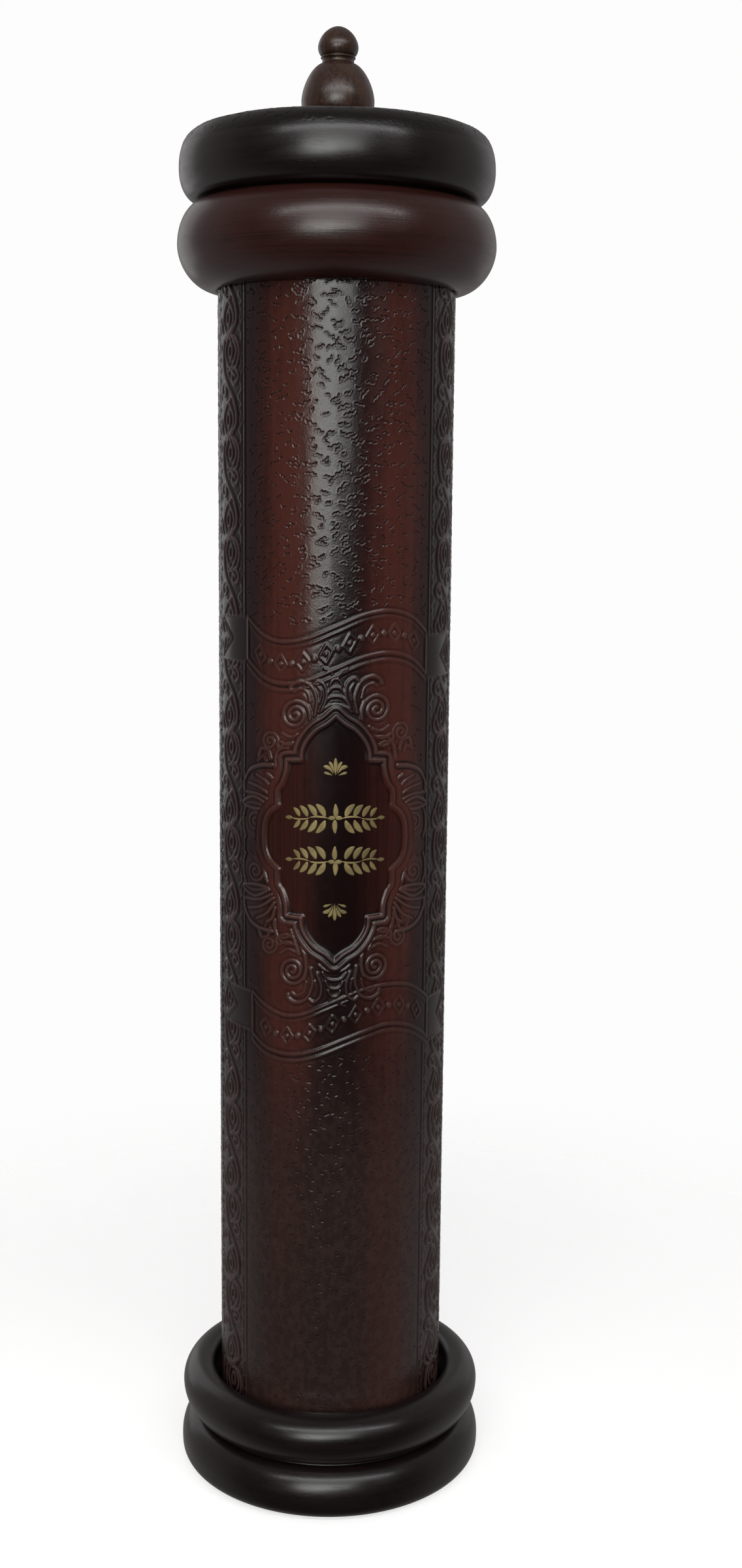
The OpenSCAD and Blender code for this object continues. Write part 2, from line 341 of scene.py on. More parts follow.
class Relief:
    """Heights over a grid of places, u across and v up, that tooling lines are pressed into.

    Raised lines keep the greatest height at each place and hollows the least, so lines that cross
    don't pile up. smooth goes to 1 where the leather is rubbed smooth.
    """

    # Points of a path that are measured together
    STRETCH = 8

    def __init__(self, u, v):
        self.u, self.v = np.asarray(u, float), np.asarray(v, float)
        self.raised = np.zeros((len(self.v), len(self.u)))
        self.sunk = np.zeros_like(self.raised)
        self.smooth = np.zeros_like(self.raised)

    def window(self, path, reach):
        """Rows and columns of the grid within reach of the path's box."""
        low, high = path.min(0) - reach, path.max(0) + reach
        columns = slice(*np.searchsorted(self.u, (low[0], high[0])))
        rows = slice(*np.searchsorted(self.v, (low[1], high[1])))
        return rows, columns

    def distance(self, path, rows, columns):
        """Distance from each place of a window to a path.

        The place is projected on each segment, the share along it is held between 0 and 1, and
        the nearest of the points found that way counts.
        """
        u, v = self.u[columns][None, :, None], self.v[rows][:, None, None]
        start, run = path[:-1], np.diff(path, axis=0)
        along = (u - start[:, 0]) * run[:, 0] + (v - start[:, 1]) * run[:, 1]
        share = (along / (run ** 2).sum(1).clip(1e-9)).clip(0, 1)
        aside, above = u - start[:, 0] - share * run[:, 0], v - start[:, 1] - share * run[:, 1]
        return np.hypot(aside, above).min(2)

    def near(self, path, reach):
        """Yields, for short stretches of the path, the window round each and the distance to it."""
        path = np.asarray(path, float)
        for i in range(0, len(path) - 1, self.STRETCH):
            stretch = path[i:i + self.STRETCH + 1]
            rows, columns = self.window(stretch, reach)
            if self.raised[rows, columns].size:
                yield rows, columns, self.distance(stretch, rows, columns)

    def ridge(self, path, width, height, moat):
        """Raises a bell-shaped line, height times exp(-(d/width)^2), in a wider and flatter moat."""
        for rows, columns, away in self.near(path, 4 * width):
            bell = np.exp(-(away / width) ** 2)
            moat_bell = np.exp(-(away / (1.8 * width)) ** 2)
            self.raised[rows, columns] = np.maximum(self.raised[rows, columns], height * bell)
            self.sunk[rows, columns] = np.minimum(self.sunk[rows, columns], -moat * moat_bell)

    def scratch(self, path, width, depth, rim):
        """Presses a line in, with a faint raised rim on both sides of it."""
        for rows, columns, away in self.near(path, 4 * width):
            dent = -depth * np.exp(-(away / width) ** 2)
            burr = rim * np.exp(-((away - 1.8 * width) / (0.8 * width)) ** 2)
            self.sunk[rows, columns] = np.minimum(self.sunk[rows, columns], dent)
            self.raised[rows, columns] = np.maximum(self.raised[rows, columns], burr)

    def mound(self, centre, radius, height):
        """A low bell over a round place, as the punch pushes the leather up under an ornament."""
        middle = np.asarray([centre], float)
        rows, columns = self.window(middle, 2 * radius)
        away = np.hypot(self.u[columns][None, :] - centre[0], self.v[rows][:, None] - centre[1])
        swell = height * np.exp(-(away / radius) ** 4)
        self.raised[rows, columns] = np.maximum(self.raised[rows, columns], swell)

    def inside(self, polygon, rows, columns):
        """Which places of a window lie inside a polygon, by counting the sides that a level line
        from the place crosses."""
        u, v = self.u[columns][None, :, None], self.v[rows][:, None, None]
        a, b = polygon, np.roll(polygon, -1, 0)
        rise = np.where(b[:, 1] == a[:, 1], 1e-9, b[:, 1] - a[:, 1])
        meets = a[:, 0] + (v - a[:, 1]) * (b[:, 0] - a[:, 0]) / rise
        crossing = ((a[:, 1] > v) != (b[:, 1] > v)) & (u < meets)
        return crossing.sum(2) % 2 == 1

    def clear(self, polygon):
        """Smooths away everything inside a polygon."""
        polygon = np.asarray(polygon, float)
        rows, columns = self.window(polygon, 0.5)
        within = self.inside(polygon, rows, columns)
        self.raised[rows, columns][within] = 0
        self.sunk[rows, columns][within] = 0

    def heights(self):
        """Height of the surface at every place."""
        return self.raised + self.sunk

    def hollows(self):
        """How far each place lies above the mean of the square of places round it.

        The mean is taken along each axis in turn, as the difference of two running sums.
        """
        reach = 5
        size = 2 * reach + 1
        height = self.heights()
        mean = height
        for axis in (0, 1):
            pad = [(reach + 1, reach) if a == axis else (0, 0) for a in (0, 1)]
            total = np.cumsum(np.pad(mean, pad, mode="edge"), axis=axis)
            top = np.take(total, np.arange(size, total.shape[axis]), axis=axis)
            bottom = np.take(total, np.arange(0, total.shape[axis] - size), axis=axis)
            mean = (top - bottom) / size
        return height - mean


def between_places(places, values, x, y):
    """Values of a square grid at points between its places, weighted by nearness along x and y."""
    pitch = places[1] - places[0]
    column, row = (x - places[0]) / pitch, (y - places[0]) / pitch
    i, j = np.floor(row).astype(int), np.floor(column).astype(int)
    down, along = row - i, column - j
    return ((1 - down) * ((1 - along) * values[i, j] + along * values[i, j + 1])
            + down * ((1 - along) * values[i + 1, j] + along * values[i + 1, j + 1]))


class Tooler:
    """Draws the case's ornament into a relief, in places measured from the cartouche's middle."""

    def __init__(self, relief, sizes):
        self.relief = relief
        self.sizes = sizes
        self.origin = np.array([CENTRE_U, CENTRE_Z])
        self.width = sizes.line_width / MM
        self.height = sizes.line_height / MM
        self.moat = sizes.moat / MM

    def line(self, path, width=1.0, height=1.0):
        """A raised line of the usual section, or a share of its width and height."""
        self.relief.ridge(self.origin + np.asarray(path, float), width * self.width,
                          height * self.height, height * self.moat)

    def curve(self, points, width=1.0, height=1.0):
        """A raised smooth curve through the points."""
        self.line(smooth_curve(points), width, height)

    def carried(self, place, strokes, width=1.0, height=1.0):
        """Smooth curves of (width, height, points). place(x, h) gives the two new coordinates."""
        for thick, tall, points in strokes:
            self.curve(self.moved(place, points), width * thick, height * tall)

    def mounds(self, place, rounds, height):
        """Low mounds of (centre, radius), carried in the same way."""
        for centre, radius in rounds:
            self.relief.mound(self.origin + self.moved(place, [centre])[0], radius, height)

    @staticmethod
    def moved(place, path):
        """The path with place put to use on its columns."""
        return np.stack(place(*np.asarray(path, float).T), -1)

    # Side bands: a running scroll that repeats, with a fringe of small curls on both sides

    def band(self, middle):
        """One side band: pairs of looped knots with a stem and two spirals under each pair, over
        and over along the whole height, counted from the pair at one level."""
        period, level = 28.5, 119.5
        for count in range(-11, 3):
            at = np.array([middle, level + period * count])
            for knot in (at, at + [1.4, -9.3]):
                for side in (-1, 1):
                    loop = [(-1.5, 5.8), (1.2, 4.0), (3.3, 0), (1.2, -4.0), (-1.5, -5.8)]
                    self.line(knot + smooth_curve(loop) * [side, 1], 1.25, 1.45)
                self.line(knot + spiral((0, 0), 1.7, 1.3, 90, -1.0) * [0.75, 1.3], 1.1, 1.25)
            self.line(at + spiral((3.5, -16.6), 2.6, 0.6, 100, -1.15), 1.3, 1.3)
            self.line(at + spiral((-2.7, -20.3), 2.4, 0.6, 60, 1.15), 1.3, 1.3)
            stem = [(0, -4.2), (-2.6, -6), (-3.7, -10), (-2.9, -15), (-0.2, -18.8), (3.0, -22.5),
                    (4.7, -27), (4.3, -30.2), (1, -32.6)]
            for weight, path in (
                    (1.5, stem),
                    (1.3, [(2.0, -4.7), (4.9, -6.2), (6.1, -9.5), (5.0, -13.2), (3.6, -14.0)]),
                    (1.2, [(-4.0, 0.5), (-5.0, -2.4), (-3.6, -4.6), (-1.4, -4.8)]),
                    (1.0, [(0.6, -12.8), (-0.9, -14.2), (0.4, -16.2)])):
                self.line(at + smooth_curve(path), weight, weight)
            for half in (0.0, -period / 2):
                self.fringe(at + [0, half])

    def fringe(self, at):
        """Small curls and leaves that fill the edges of a band."""
        for side in (-1, 1):
            edge = at + [side * 7.1, 0]
            self.line(edge + spiral((0, 0), 1.3, 0.4, 90 - 90 * side, -1.0 * side), 0.8, 0.6)
            for leaf in ([(0.3, -1.3), (-0.9, -3.0), (0.2, -4.6)],
                         [(0.3, -6), (-1.3, -7.8), (0.1, -9.6)],
                         [(0.5, -10.2), (-0.7, -11.2), (0.4, -12.4)]):
                self.line(edge + smooth_curve(np.array(leaf) * [side, 1]), 0.8, 0.6)

    def borders(self):
        """A strong and a faint upright line along each edge of the front panel."""
        low, high = TUBE_LOW - CENTRE_Z, TUBE_HIGH - CENTRE_Z
        for x in (PANEL_LEFT, PANEL_RIGHT):
            faint = x + np.sign(x) * 1.5
            self.line([(x, low), (x, high)], 0.9, 0.7)
            self.line([(faint, low), (faint, high)], 0.7, 0.45)

    def banner(self, top, bottom, tails):
        """A waving ribbon: a plain strip between two curves, double lines, ends and swallow tails."""
        top, bottom = smooth_curve(top, 8), smooth_curve(bottom, 8)
        for tail in tails:
            self.relief.clear(self.origin + np.asarray(tail, float))
        self.relief.clear(self.origin + np.concatenate([top + [0, 1.0], bottom[::-1] - [0, 3.0]]))
        for edge, shift, height in (
                (top, 0, 1.0), (top, -1.7, 0.45), (bottom, 0, 0.9), (bottom, -2.0, 0.75)):
            self.line(edge + [0, shift], 1.0, height)
        for end in (0, -1):
            self.line([top[end], bottom[end]], 1.0, 0.9)
        for tail in tails:
            self.line(np.asarray(tail, float), 0.95, 0.8)
        self.beads(top, bottom)

    def beads(self, top, bottom):
        """A row of lozenges with dots between them along the middle of a ribbon, each leaning with
        the ribbon there."""
        inset, count = 5.2, 15
        x = np.linspace(top[0, 0] + inset, top[-1, 0] - inset, count)
        upper, lower = (np.interp(x, edge[:, 0], edge[:, 1]) for edge in (top, bottom))
        middle = (upper + lower) / 2 - 0.4
        lozenge = np.array([(-1.9, 0), (0, 2.7), (1.9, 0), (0, -2.7), (-1.9, 0)])
        for i, (at, rise) in enumerate(zip(np.stack([x, middle], -1), np.gradient(middle, x))):
            if i % 2:
                self.relief.mound(self.origin + at, 0.85, 0.34)
            else:
                self.line(at + lozenge + lozenge[:, :1] * [0, rise], 0.85, 0.65)
                self.relief.mound(self.origin + at, 0.7, 0.26)

    # Cartouche and the leaf work around it

    def cartouche(self):
        """The smooth sunk field and its two outlines, from a distance d that is positive outside.

        The field's floor and its smoothness step down over its edge with 1 / (1 + exp(d / w)), and
        each outline is a bell over one distance. Both outlines are strongest round the two points
        and fainter at the sides.
        """
        shoulder = [(10, 23.3), (14.6, 23)]
        arch = smooth_curve([(0, 36.3), (2.6, 34), (5.8, 32), (8.4, 29), (9.8, 26), (10, 23.3)])
        upper_lobe = smooth_curve(
            [(14.6, 23), (14.8, 19.5), (16, 16), (17.4, 14), (17.6, 11), (17.4, 9.5)])
        side_lobe = smooth_curve([(17.4, 9.5), (20.3, 7), (21.8, 4), (22.2, 0)])
        corner = np.concatenate([arch, shoulder, upper_lobe, side_lobe[1:]])
        half = np.concatenate([corner, mirrored(corner, False, True)[::-1][1:]])
        outline = np.concatenate([half, mirrored(half)[::-1][1:-1]])
        outline = self.origin + np.concatenate([outline, outline[:1]])
        rows, columns = self.relief.window(outline, 5.0)
        step = Relief.STRETCH
        away = np.min([self.relief.distance(outline[i:i + step + 1], rows, columns)
                       for i in range(0, len(outline) - 1, step)], axis=0)
        away = np.where(self.relief.inside(outline[:-1], rows, columns), -away, away)
        near = away < 3.2
        floor = -self.sizes.field_depth / MM * (1 / (1 + np.exp((away + 0.7) / 0.22)))
        # 0 at the sides of the cartouche and 1 near its two points
        level = np.abs(self.relief.v[rows] - self.origin[1])[:, None]
        points = np.clip((level - 15) / 11, 0, 1)
        raised = self.height * ((0.38 + 0.62 * points) * np.exp(-(away / 0.6) ** 2)
                                + (0.16 + 0.54 * points) * np.exp(-((away - 2.0) / 0.5) ** 2))
        groove = -(0.1 + 0.1 * points) * np.exp(-((away - 1.0) / 0.45) ** 2)
        for grid, drawn in ((self.relief.raised, raised), (self.relief.sunk, floor + groove)):
            grid[rows, columns] = np.where(near, drawn, grid[rows, columns])
        self.relief.smooth[rows, columns] = 1 / (1 + np.exp((away + 0.9) / 0.3))

    def crest_group(self, place):
        """Scrolls, leaves and fans over the arch of the cartouche. place(x, h) carries each path to
        its corner: it mirrors it and leans it a little."""
        rounds = ((13.1, 37), 5.6), ((8, 42), 5.0), ((15, 29.5), 4.5), ((21.1, 29.5), 4.0)
        self.mounds(place, rounds, 0.16)
        self.line(self.moved(place, spiral((13.1, 37), 4.4, 0.5, 180, -2.3)), 1.1, 1.1)
        self.line(self.moved(place, spiral((21.1, 29.5), 2.9, 0.5, 200, -1.8)), 1.0, 1.0)
        self.carried(place, (
            (1.15, 1.1, [(11.8, 24.5), (10.6, 28.5), (8.9, 33), (8.6, 37), (9.3, 39.6)]),
            (1.0, 1.0, [(13.6, 24.8), (12.2, 28.5), (11, 32.2)]),
            (1.1, 1.1, [(7.2, 36.5), (6.6, 41), (8.3, 45.2), (11.5, 46.6), (14, 45.6), (14.6, 44.2)]),
            (0.9, 0.9, [(8.6, 40.5), (9.4, 43.4), (11.6, 44.5), (13.3, 43.6)]),
            (1.1, 1.1, [(5.2, 38), (3.9, 41.5), (4.2, 44.8), (6.2, 46.5), (7.6, 45.6)]),
            (0.8, 0.8, [(5.8, 40.2), (5.3, 43.2), (6.2, 44.8)]),
            (1.0, 1.0, [(11.8, 31.5), (14.5, 30.6), (17, 31.8)]),
            (1.0, 1.0, [(12, 29.4), (15, 28.4), (17.6, 29.4)]),
            (1.0, 1.0, [(12.4, 27.2), (15, 26.2), (17, 26.6)]),
            (1.0, 1.0, [(12.6, 25.8), (15.5, 27.3), (17.9, 27.2), (18.6, 28.6)]),
            (1.0, 1.0, [(20.8, 24.5), (21.6, 27), (24, 27.3), (25, 25.2)]),
            (0.8, 0.8, [(22.3, 23.6), (23.4, 25.2), (25.4, 23.8)]),
            (1.0, 1.0, [(12.5, 29), (16.5, 28.6), (18.8, 25.5), (19.2, 22)])))

    def palmette(self, flip):
        """Four nested arches and two flicks at a point of the cartouche, the lower one if flip."""
        for h, half, rise in (
                (38.6, 4.6, 1.4), (41.2, 3.5, 1.8), (43.8, 2.6, 1.8), (46.2, 1.8, 1.4)):
            arch = [(-half, h - rise), (-half * 0.6, h), (0, h + 0.5), (half * 0.6, h),
                    (half, h - rise)]
            self.curve(mirrored(arch, False, flip), 0.9, 0.9)
        for side in (-1, 1):
            flick = [(side * 0.6, 47), (side * 1.6, 48.8), (side * 3.4, 49.6)]
            self.curve(mirrored(flick, False, flip), 0.8, 0.8)

    def side_group(self, place):
        """Shell, leaf and scroll beside the cartouche, above its level line: four ribs of the
        shell, each bowed outwards in its middle, then the leaf and the stems."""
        self.mounds(place, (((25, 16), 5.5), ((26, 9), 4.0), ((25.5, 3), 4.5)), 0.2)
        self.line(self.moved(place, spiral((25.3, 3.8), 3.3, 0.5, 200, -1.8)), 1.0, 1.0)
        for start, end in (((18.2, 14), (21, 18.5)), ((18.4, 12.5), (25, 18)),
                           ((18.6, 11), (28.3, 15.3)), ((18.8, 9.8), (29.4, 12.5))):
            bend = ((start[0] + end[0]) / 2 - 0.4, (start[1] + end[1]) / 2 + 0.9)
            self.carried(place, [(0.85, 0.85, [start, bend, end])], 1.1, 1.6)
        self.carried(place, (
            (1.05, 1.0, [(19.2, 21.2), (23.5, 20.7), (27.5, 18.9), (30.0, 15.4), (30.2, 12.5)]),
            (0.9, 0.9, [(19.6, 8.5), (25.6, 11.3), (30.6, 9), (25.6, 7.8), (19.6, 8.5)]),
            (0.7, 0.7, [(21.0, 8.7), (25.6, 9.5), (29.0, 9.0)]),
            (1.0, 1.0, [(18.5, 9.5), (20.8, 6.5), (22.0, 3.8)]),
            (0.9, 0.9, [(29.3, 8.2), (30.4, 5), (30.4, 1.5), (29.6, -1)])), 1.1, 1.6)

    def leafwork(self):
        """The four crest groups, the four side groups and the two palmettes.

        On both sides the lower crest group is a little narrower and lower, and the lower side
        group is the upper one mirrored about the level -3.5.
        """
        for side in (1, -1):
            self.crest_group(lambda x, h: (side * (x - 1.1), h + side * 0.07 * x))
            self.crest_group(lambda x, h: (side * 0.95 * x - 0.2, -h - 1.5 + side * 0.06 * x))
            self.side_group(lambda x, h: (side * x, h))
            self.side_group(lambda x, h: (side * x, -7.0 - h))
        for flip in (False, True):
            self.palmette(flip)


def crackle_stroke(rng, at, size):
    """A short wriggling stroke: two to four steps, each about size long, whose heading swings
    from side to side of a line that is nearer level than upright."""
    steps = int(rng.integers(2, 5))
    swing = np.where(np.arange(steps) % 2 == 0, 1, -1) * rng.uniform(0.35, 1.0, steps)
    heading = rng.uniform(-0.9, 0.9) + (np.pi if rng.random() < 0.5 else 0) + swing
    stride = size * rng.uniform(0.7, 1.3, steps)[:, None]
    step = stride * np.stack([np.cos(heading), np.sin(heading)], -1)
    return at + np.concatenate([[[0, 0]], np.cumsum(step, axis=0)])


def crackle(relief, sizes, low, high, seed, fade, keep=None):
    """Scatters crackle strokes over a box, one to each cell of a jittered grid.

    fade(u, v) is the share of the full depth at a place, and shortens the stroke by its power of
    1.5. keep(u, v, chance), if there is one, says which strokes stay, with chance evenly spread
    from 0 to 1. About one stroke in fourteen is left out everywhere.
    """
    rng = np.random.default_rng(seed)
    pitch = sizes.crackle_spacing / MM
    depth = sizes.crackle_depth / MM
    line_width, rim_share, fill = 0.18, 0.45, 0.93
    across = np.arange(low[0], high[0], pitch)
    up = np.arange(low[1], high[1], pitch * 0.92)
    for i, v in enumerate(up):
        for u in across + (i % 2) * pitch / 2:
            at = np.array([u, v]) + rng.uniform(-0.33, 0.33, 2) * pitch
            size = rng.uniform(0.65, 1.15)
            chance = rng.random()
            share = fade(*at)
            path = crackle_stroke(rng, at, size * min(share, 1.0) ** 1.5)
            if chance <= fill and (keep is None or keep(*at, chance)):
                relief.scratch(path, line_width, share * depth, rim_share * share * depth)


def front_fade(u, v):
    """Crackle is deepest under the collar and fades to faint specks near the base."""
    return float(np.interp(v, [40, 90, 140, 270, 363], [0.55, 0.62, 0.7, 0.85, 1.0]))


def front_keep(u, v, chance):
    """Crackle stays out of the borders, and between the banners it is thin and only at the sides."""
    if not FRONT_LEFT + 1.5 < u < FRONT_RIGHT - 1.5:
        return False
    return abs(v - CENTRE_Z) > 62 or (abs(u - CENTRE_U) > 24 and chance < 0.45)


def upright_strip(left, right):
    """A box over the whole height of the tube, and a little more."""
    low, high = TUBE_LOW - 1, TUBE_HIGH + 1
    return [(left, low), (right, low), (right, high), (left, high)]


def tool_front(relief, sizes):
    """Presses the design of the front and its side bands into one piece's relief, wherever the
    piece lies. The banners clear away what they cross, and the field replaces what is under it."""
    tooler = Tooler(relief, sizes)
    for middle in (-38.0, 39.7):
        tooler.band(middle - CENTRE_U)
    relief.clear(upright_strip(FRONT_LEFT - 0.1, FRONT_RIGHT + 0.1))
    tooler.borders()
    crackle(relief, sizes, (FRONT_LEFT, TUBE_LOW + 12), (FRONT_RIGHT, TUBE_HIGH - 17), sizes.seed,
            front_fade, front_keep)
    tooler.banner(
        [(-28.5, 63.5), (-22.5, 58.8), (-16.5, 57), (-8.5, 58), (0, 61.5), (8.5, 65), (16.5, 66),
         (23.5, 64), (29.5, 59.5)],
        [(-28.5, 51.5), (-22.5, 46.8), (-16.5, 45), (-8.5, 46), (0, 49.5), (8.5, 53), (16.5, 54),
         (23.5, 52), (29.5, 47.5)],
        [[(-29.5, 63.5), (-44.5, 63.5), (-36.5, 57), (-44.5, 50.5), (-29.5, 50.5)],
         [(30.5, 58.5), (45.5, 58.5), (38.5, 52.2), (45.5, 46.2), (30.5, 46.2)]])
    tooler.banner(
        [(-26.5, -47.5), (-21.5, -50.8), (-15.5, -53), (-9.5, -52.3), (-3, -49.4), (3.5, -46.6),
         (9.5, -44.5), (16.5, -43.8), (23.5, -44.8), (29.5, -48.2), (32.5, -50.5)],
        [(-26.5, -60.2), (-21.5, -63.5), (-14.5, -64.8), (-6.5, -63.5), (3.5, -59.5), (10, -57.2),
         (16.5, -55.8), (23.5, -57.2), (29, -60.2), (32.5, -62.8)],
        [[(-27.5, -47.5), (-41.5, -46.8), (-34.5, -53.2), (-41.5, -59.2), (-27.5, -59.5)],
         [(33.5, -50.5), (46, -50.3), (39.5, -57), (46, -64), (33.5, -64.2)]])
    tooler.leafwork()
    tooler.cartouche()


def tool_back(relief, sizes):
    """Plain crackle, the upright butt seam, and a line where the back meets each side band."""
    crackle(relief, sizes, (BAND_RIGHT + 1, TUBE_LOW + 12), (BACK_END - 1, TUBE_HIGH - 17),
            sizes.seed + 1, lambda u, v: 1.25 * front_fade(u, v))
    relief.clear(upright_strip(SEAM - 1.2, SEAM + 1.2))
    relief.scratch([(SEAM, TUBE_LOW), (SEAM, TUBE_HIGH)], width=0.5, depth=0.4, rim=0.1)
    for edge in (BAND_RIGHT, BACK_END):
        relief.ridge([(edge, TUBE_LOW), (edge, TUBE_HIGH)], width=0.45, height=0.25, moat=0.1)


def leather_waves(u, z):
    """A slow unevenness of the leather: the sum of a few crossed sine waves, under 0.04 mm."""
    return 0.018 * np.sin(u / 5.3 + z / 41) * np.cos(z / 17.0) + 0.02 * np.sin(u / 11.0 - z / 63)


def dye_and_painted_shade_share(u, z):
    """How much of the red shows at each place, 0 to about 1.

    One upright stripe on each side of the middle of the front and one at the back are each
    exp(-|(u - c) / w|^n), over a thin even ground; the dark gap between the two front stripes is
    painted shade, a dark reflection down the middle. They are multiplied by a share that falls
    towards the base, where the leather is browner, as painted shade that darkens the lower part, and
    dips under the collar as a painted shadow; the right stripe's share falls less. A little red is
    added just over the lip, exp(-((z - low) / w)^2).
    """
    ground = 0.12
    left = np.exp(-np.abs((u + 14.5) / 9.5) ** 2.4) + 0.75 * np.exp(-((u - SEAM) / 48) ** 4)
    right = 0.85 * np.exp(-np.abs((u - 18.5) / 10) ** 2.4)
    height = np.interp(z, [50, 105, 150, 215, 320, 365], [0.3, 0.42, 0.8, 1.0, 0.9, 0.7])[:, None]
    lip = 0.45 * np.exp(-((z - TUBE_LOW) / 14) ** 2)[:, None]
    share = 1 - ground
    return (ground + share * left)[None, :] * height + share * right[None, :] * height.clip(0.62) + lip


def leather_panel(name, u, z, sizes):
    """A closed piece of the leather covering between two angles and two heights.

    The outer face is the grid (r sin a, -r cos a, z) with a = u / R and r the tooled radius. The
    inner face is a plain sheet of long strips, and four flat walls close the edges.
    """
    relief = Relief(u, z)
    tool = tool_front if u[0] < BAND_RIGHT else tool_back
    tool(relief, sizes)
    smooth = relief.smooth
    ground = TUBE_R - LEATHER_REST + (1 - smooth) * leather_waves(u[None, :], z[:, None])
    r = ground + relief.heights()
    angle = u / TUBE_R
    rows, columns = r.shape
    outer = np.stack([r * np.sin(angle), -r * np.cos(angle), np.broadcast_to(z[:, None], r.shape)], -1)
    strips, inner_r = 16, BOARD_R + GLUE
    inner_angle = np.linspace(angle[0], angle[-1], strips + 1)
    ring = np.stack([inner_r * np.sin(inner_angle), -inner_r * np.cos(inner_angle)], -1)
    inner = np.stack([np.column_stack([ring, np.full(strips + 1, h)]) for h in (z[0], z[-1])])
    points = np.concatenate([outer.reshape(-1, 3), inner.reshape(-1, 3)])
    i, j = np.arange(rows - 1)[:, None], np.arange(columns - 1)[None, :]
    corner = i * columns + j
    front = np.stack([corner, corner + 1, corner + columns + 1, corner + columns], -1).reshape(-1, 4)
    low, high = rows * columns, rows * columns + strips + 1
    k = np.arange(strips)
    back = np.stack([low + k + 1, low + k, high + k, high + k + 1], -1)
    across, up = np.arange(columns), np.arange(rows) * columns
    under = np.arange(strips + 1)
    walls = [
        np.concatenate([across[::-1], low + under]),
        np.concatenate([across + (rows - 1) * columns, high + under[::-1]]),
        np.concatenate([up, [high, low]]),
        np.concatenate([(up + columns - 1)[::-1], [low + strips, high + strips]]),
    ]
    plain = np.zeros(2 * (strips + 1))
    # The dye mark carries painted shade along with the dye: a dark reflection down the middle, a darker
    # lower part and a shadow under the collar
    marks = {
        "relief": np.concatenate([relief.heights().ravel(), plain]),
        "hollow": np.concatenate([relief.hollows().ravel(), plain]),
        "field": np.concatenate([smooth.ravel(), plain]),
        "dye": np.concatenate([dye_and_painted_shade_share(u, z).ravel(), plain]),
    }
    return make_piece(name, points, [front, back], walls, marks)


def spaced(low, high, pitch):
    """Evenly spaced places from low to high, about pitch apart."""
    return np.linspace(low, high, max(2, int(round((high - low) / pitch)) + 1))


def tube_rows(low, high, pitch):
    """Heights for a leather piece: fine where the leather shows, coarse inside the mouldings."""
    coarse = 2.0
    hidden_low, hidden_high = SHOULDER_HIGH - 5, COLLAR_LOW + 1.5
    parts = []
    if low < hidden_low:
        parts.append(spaced(low, hidden_low, coarse)[:-1])
    parts.append(spaced(max(low, hidden_low), min(high, hidden_high), pitch))
    if high > hidden_high:
        parts.append(spaced(hidden_high, high, coarse)[1:])
    return np.concatenate(parts)


# ---------------------------------------------------------------- finishes

class Wire:
    """One output of a shader node. Arithmetic on it adds Math nodes to its tree."""

    def __init__(self, nodes, socket):
        self.nodes, self.socket = nodes, socket

    def math(self, operation, first, second, clamp=False):
        """One Math node on two wires or numbers, held between 0 and 1 if clamp."""
        settings = {"operation": operation, "use_clamp": clamp}
        return self.nodes.node("ShaderNodeMath", settings, {0: first, 1: second})

    def __add__(self, other):
        return self.math("ADD", self, other)

    def __sub__(self, other):
        return self.math("SUBTRACT", self, other)

    def __rsub__(self, other):
        return self.math("SUBTRACT", other, self)

    def __mul__(self, other):
        return self.math("MULTIPLY", self, other)

    __radd__ = __add__
    __rmul__ = __mul__

    def held(self):
        """The value held between 0 and 1."""
        return self.math("ADD", self, 0.0, clamp=True)

    def between(self, low, high):
        """0 at low and less, 1 at high and more, and smooth between. low may be the greater."""
        inputs = {"Value": self, "From Min": low, "From Max": high}
        return self.nodes.node("ShaderNodeMapRange", {"interpolation_type": "SMOOTHSTEP"}, inputs)


class Nodes:
    """The empty node tree of a material or a world, which one method fills."""

    def __init__(self, owner):
        owner.use_nodes = True
        self.tree = owner.node_tree
        self.tree.nodes.clear()

    def node(self, kind, settings=None, inputs=None, output=0):
        """Adds a node of that type with its settings, then sets or links its sockets. Gives the
        output of that name or number, or nothing where output is None."""
        made = self.tree.nodes.new(kind)
        for key, value in (settings or {}).items():
            setattr(made, key, value)
        for key, value in (inputs or {}).items():
            if isinstance(value, Wire):
                self.tree.links.new(value.socket, made.inputs[key])
            else:
                made.inputs[key].default_value = value
        return None if output is None else Wire(self, made.outputs[output])


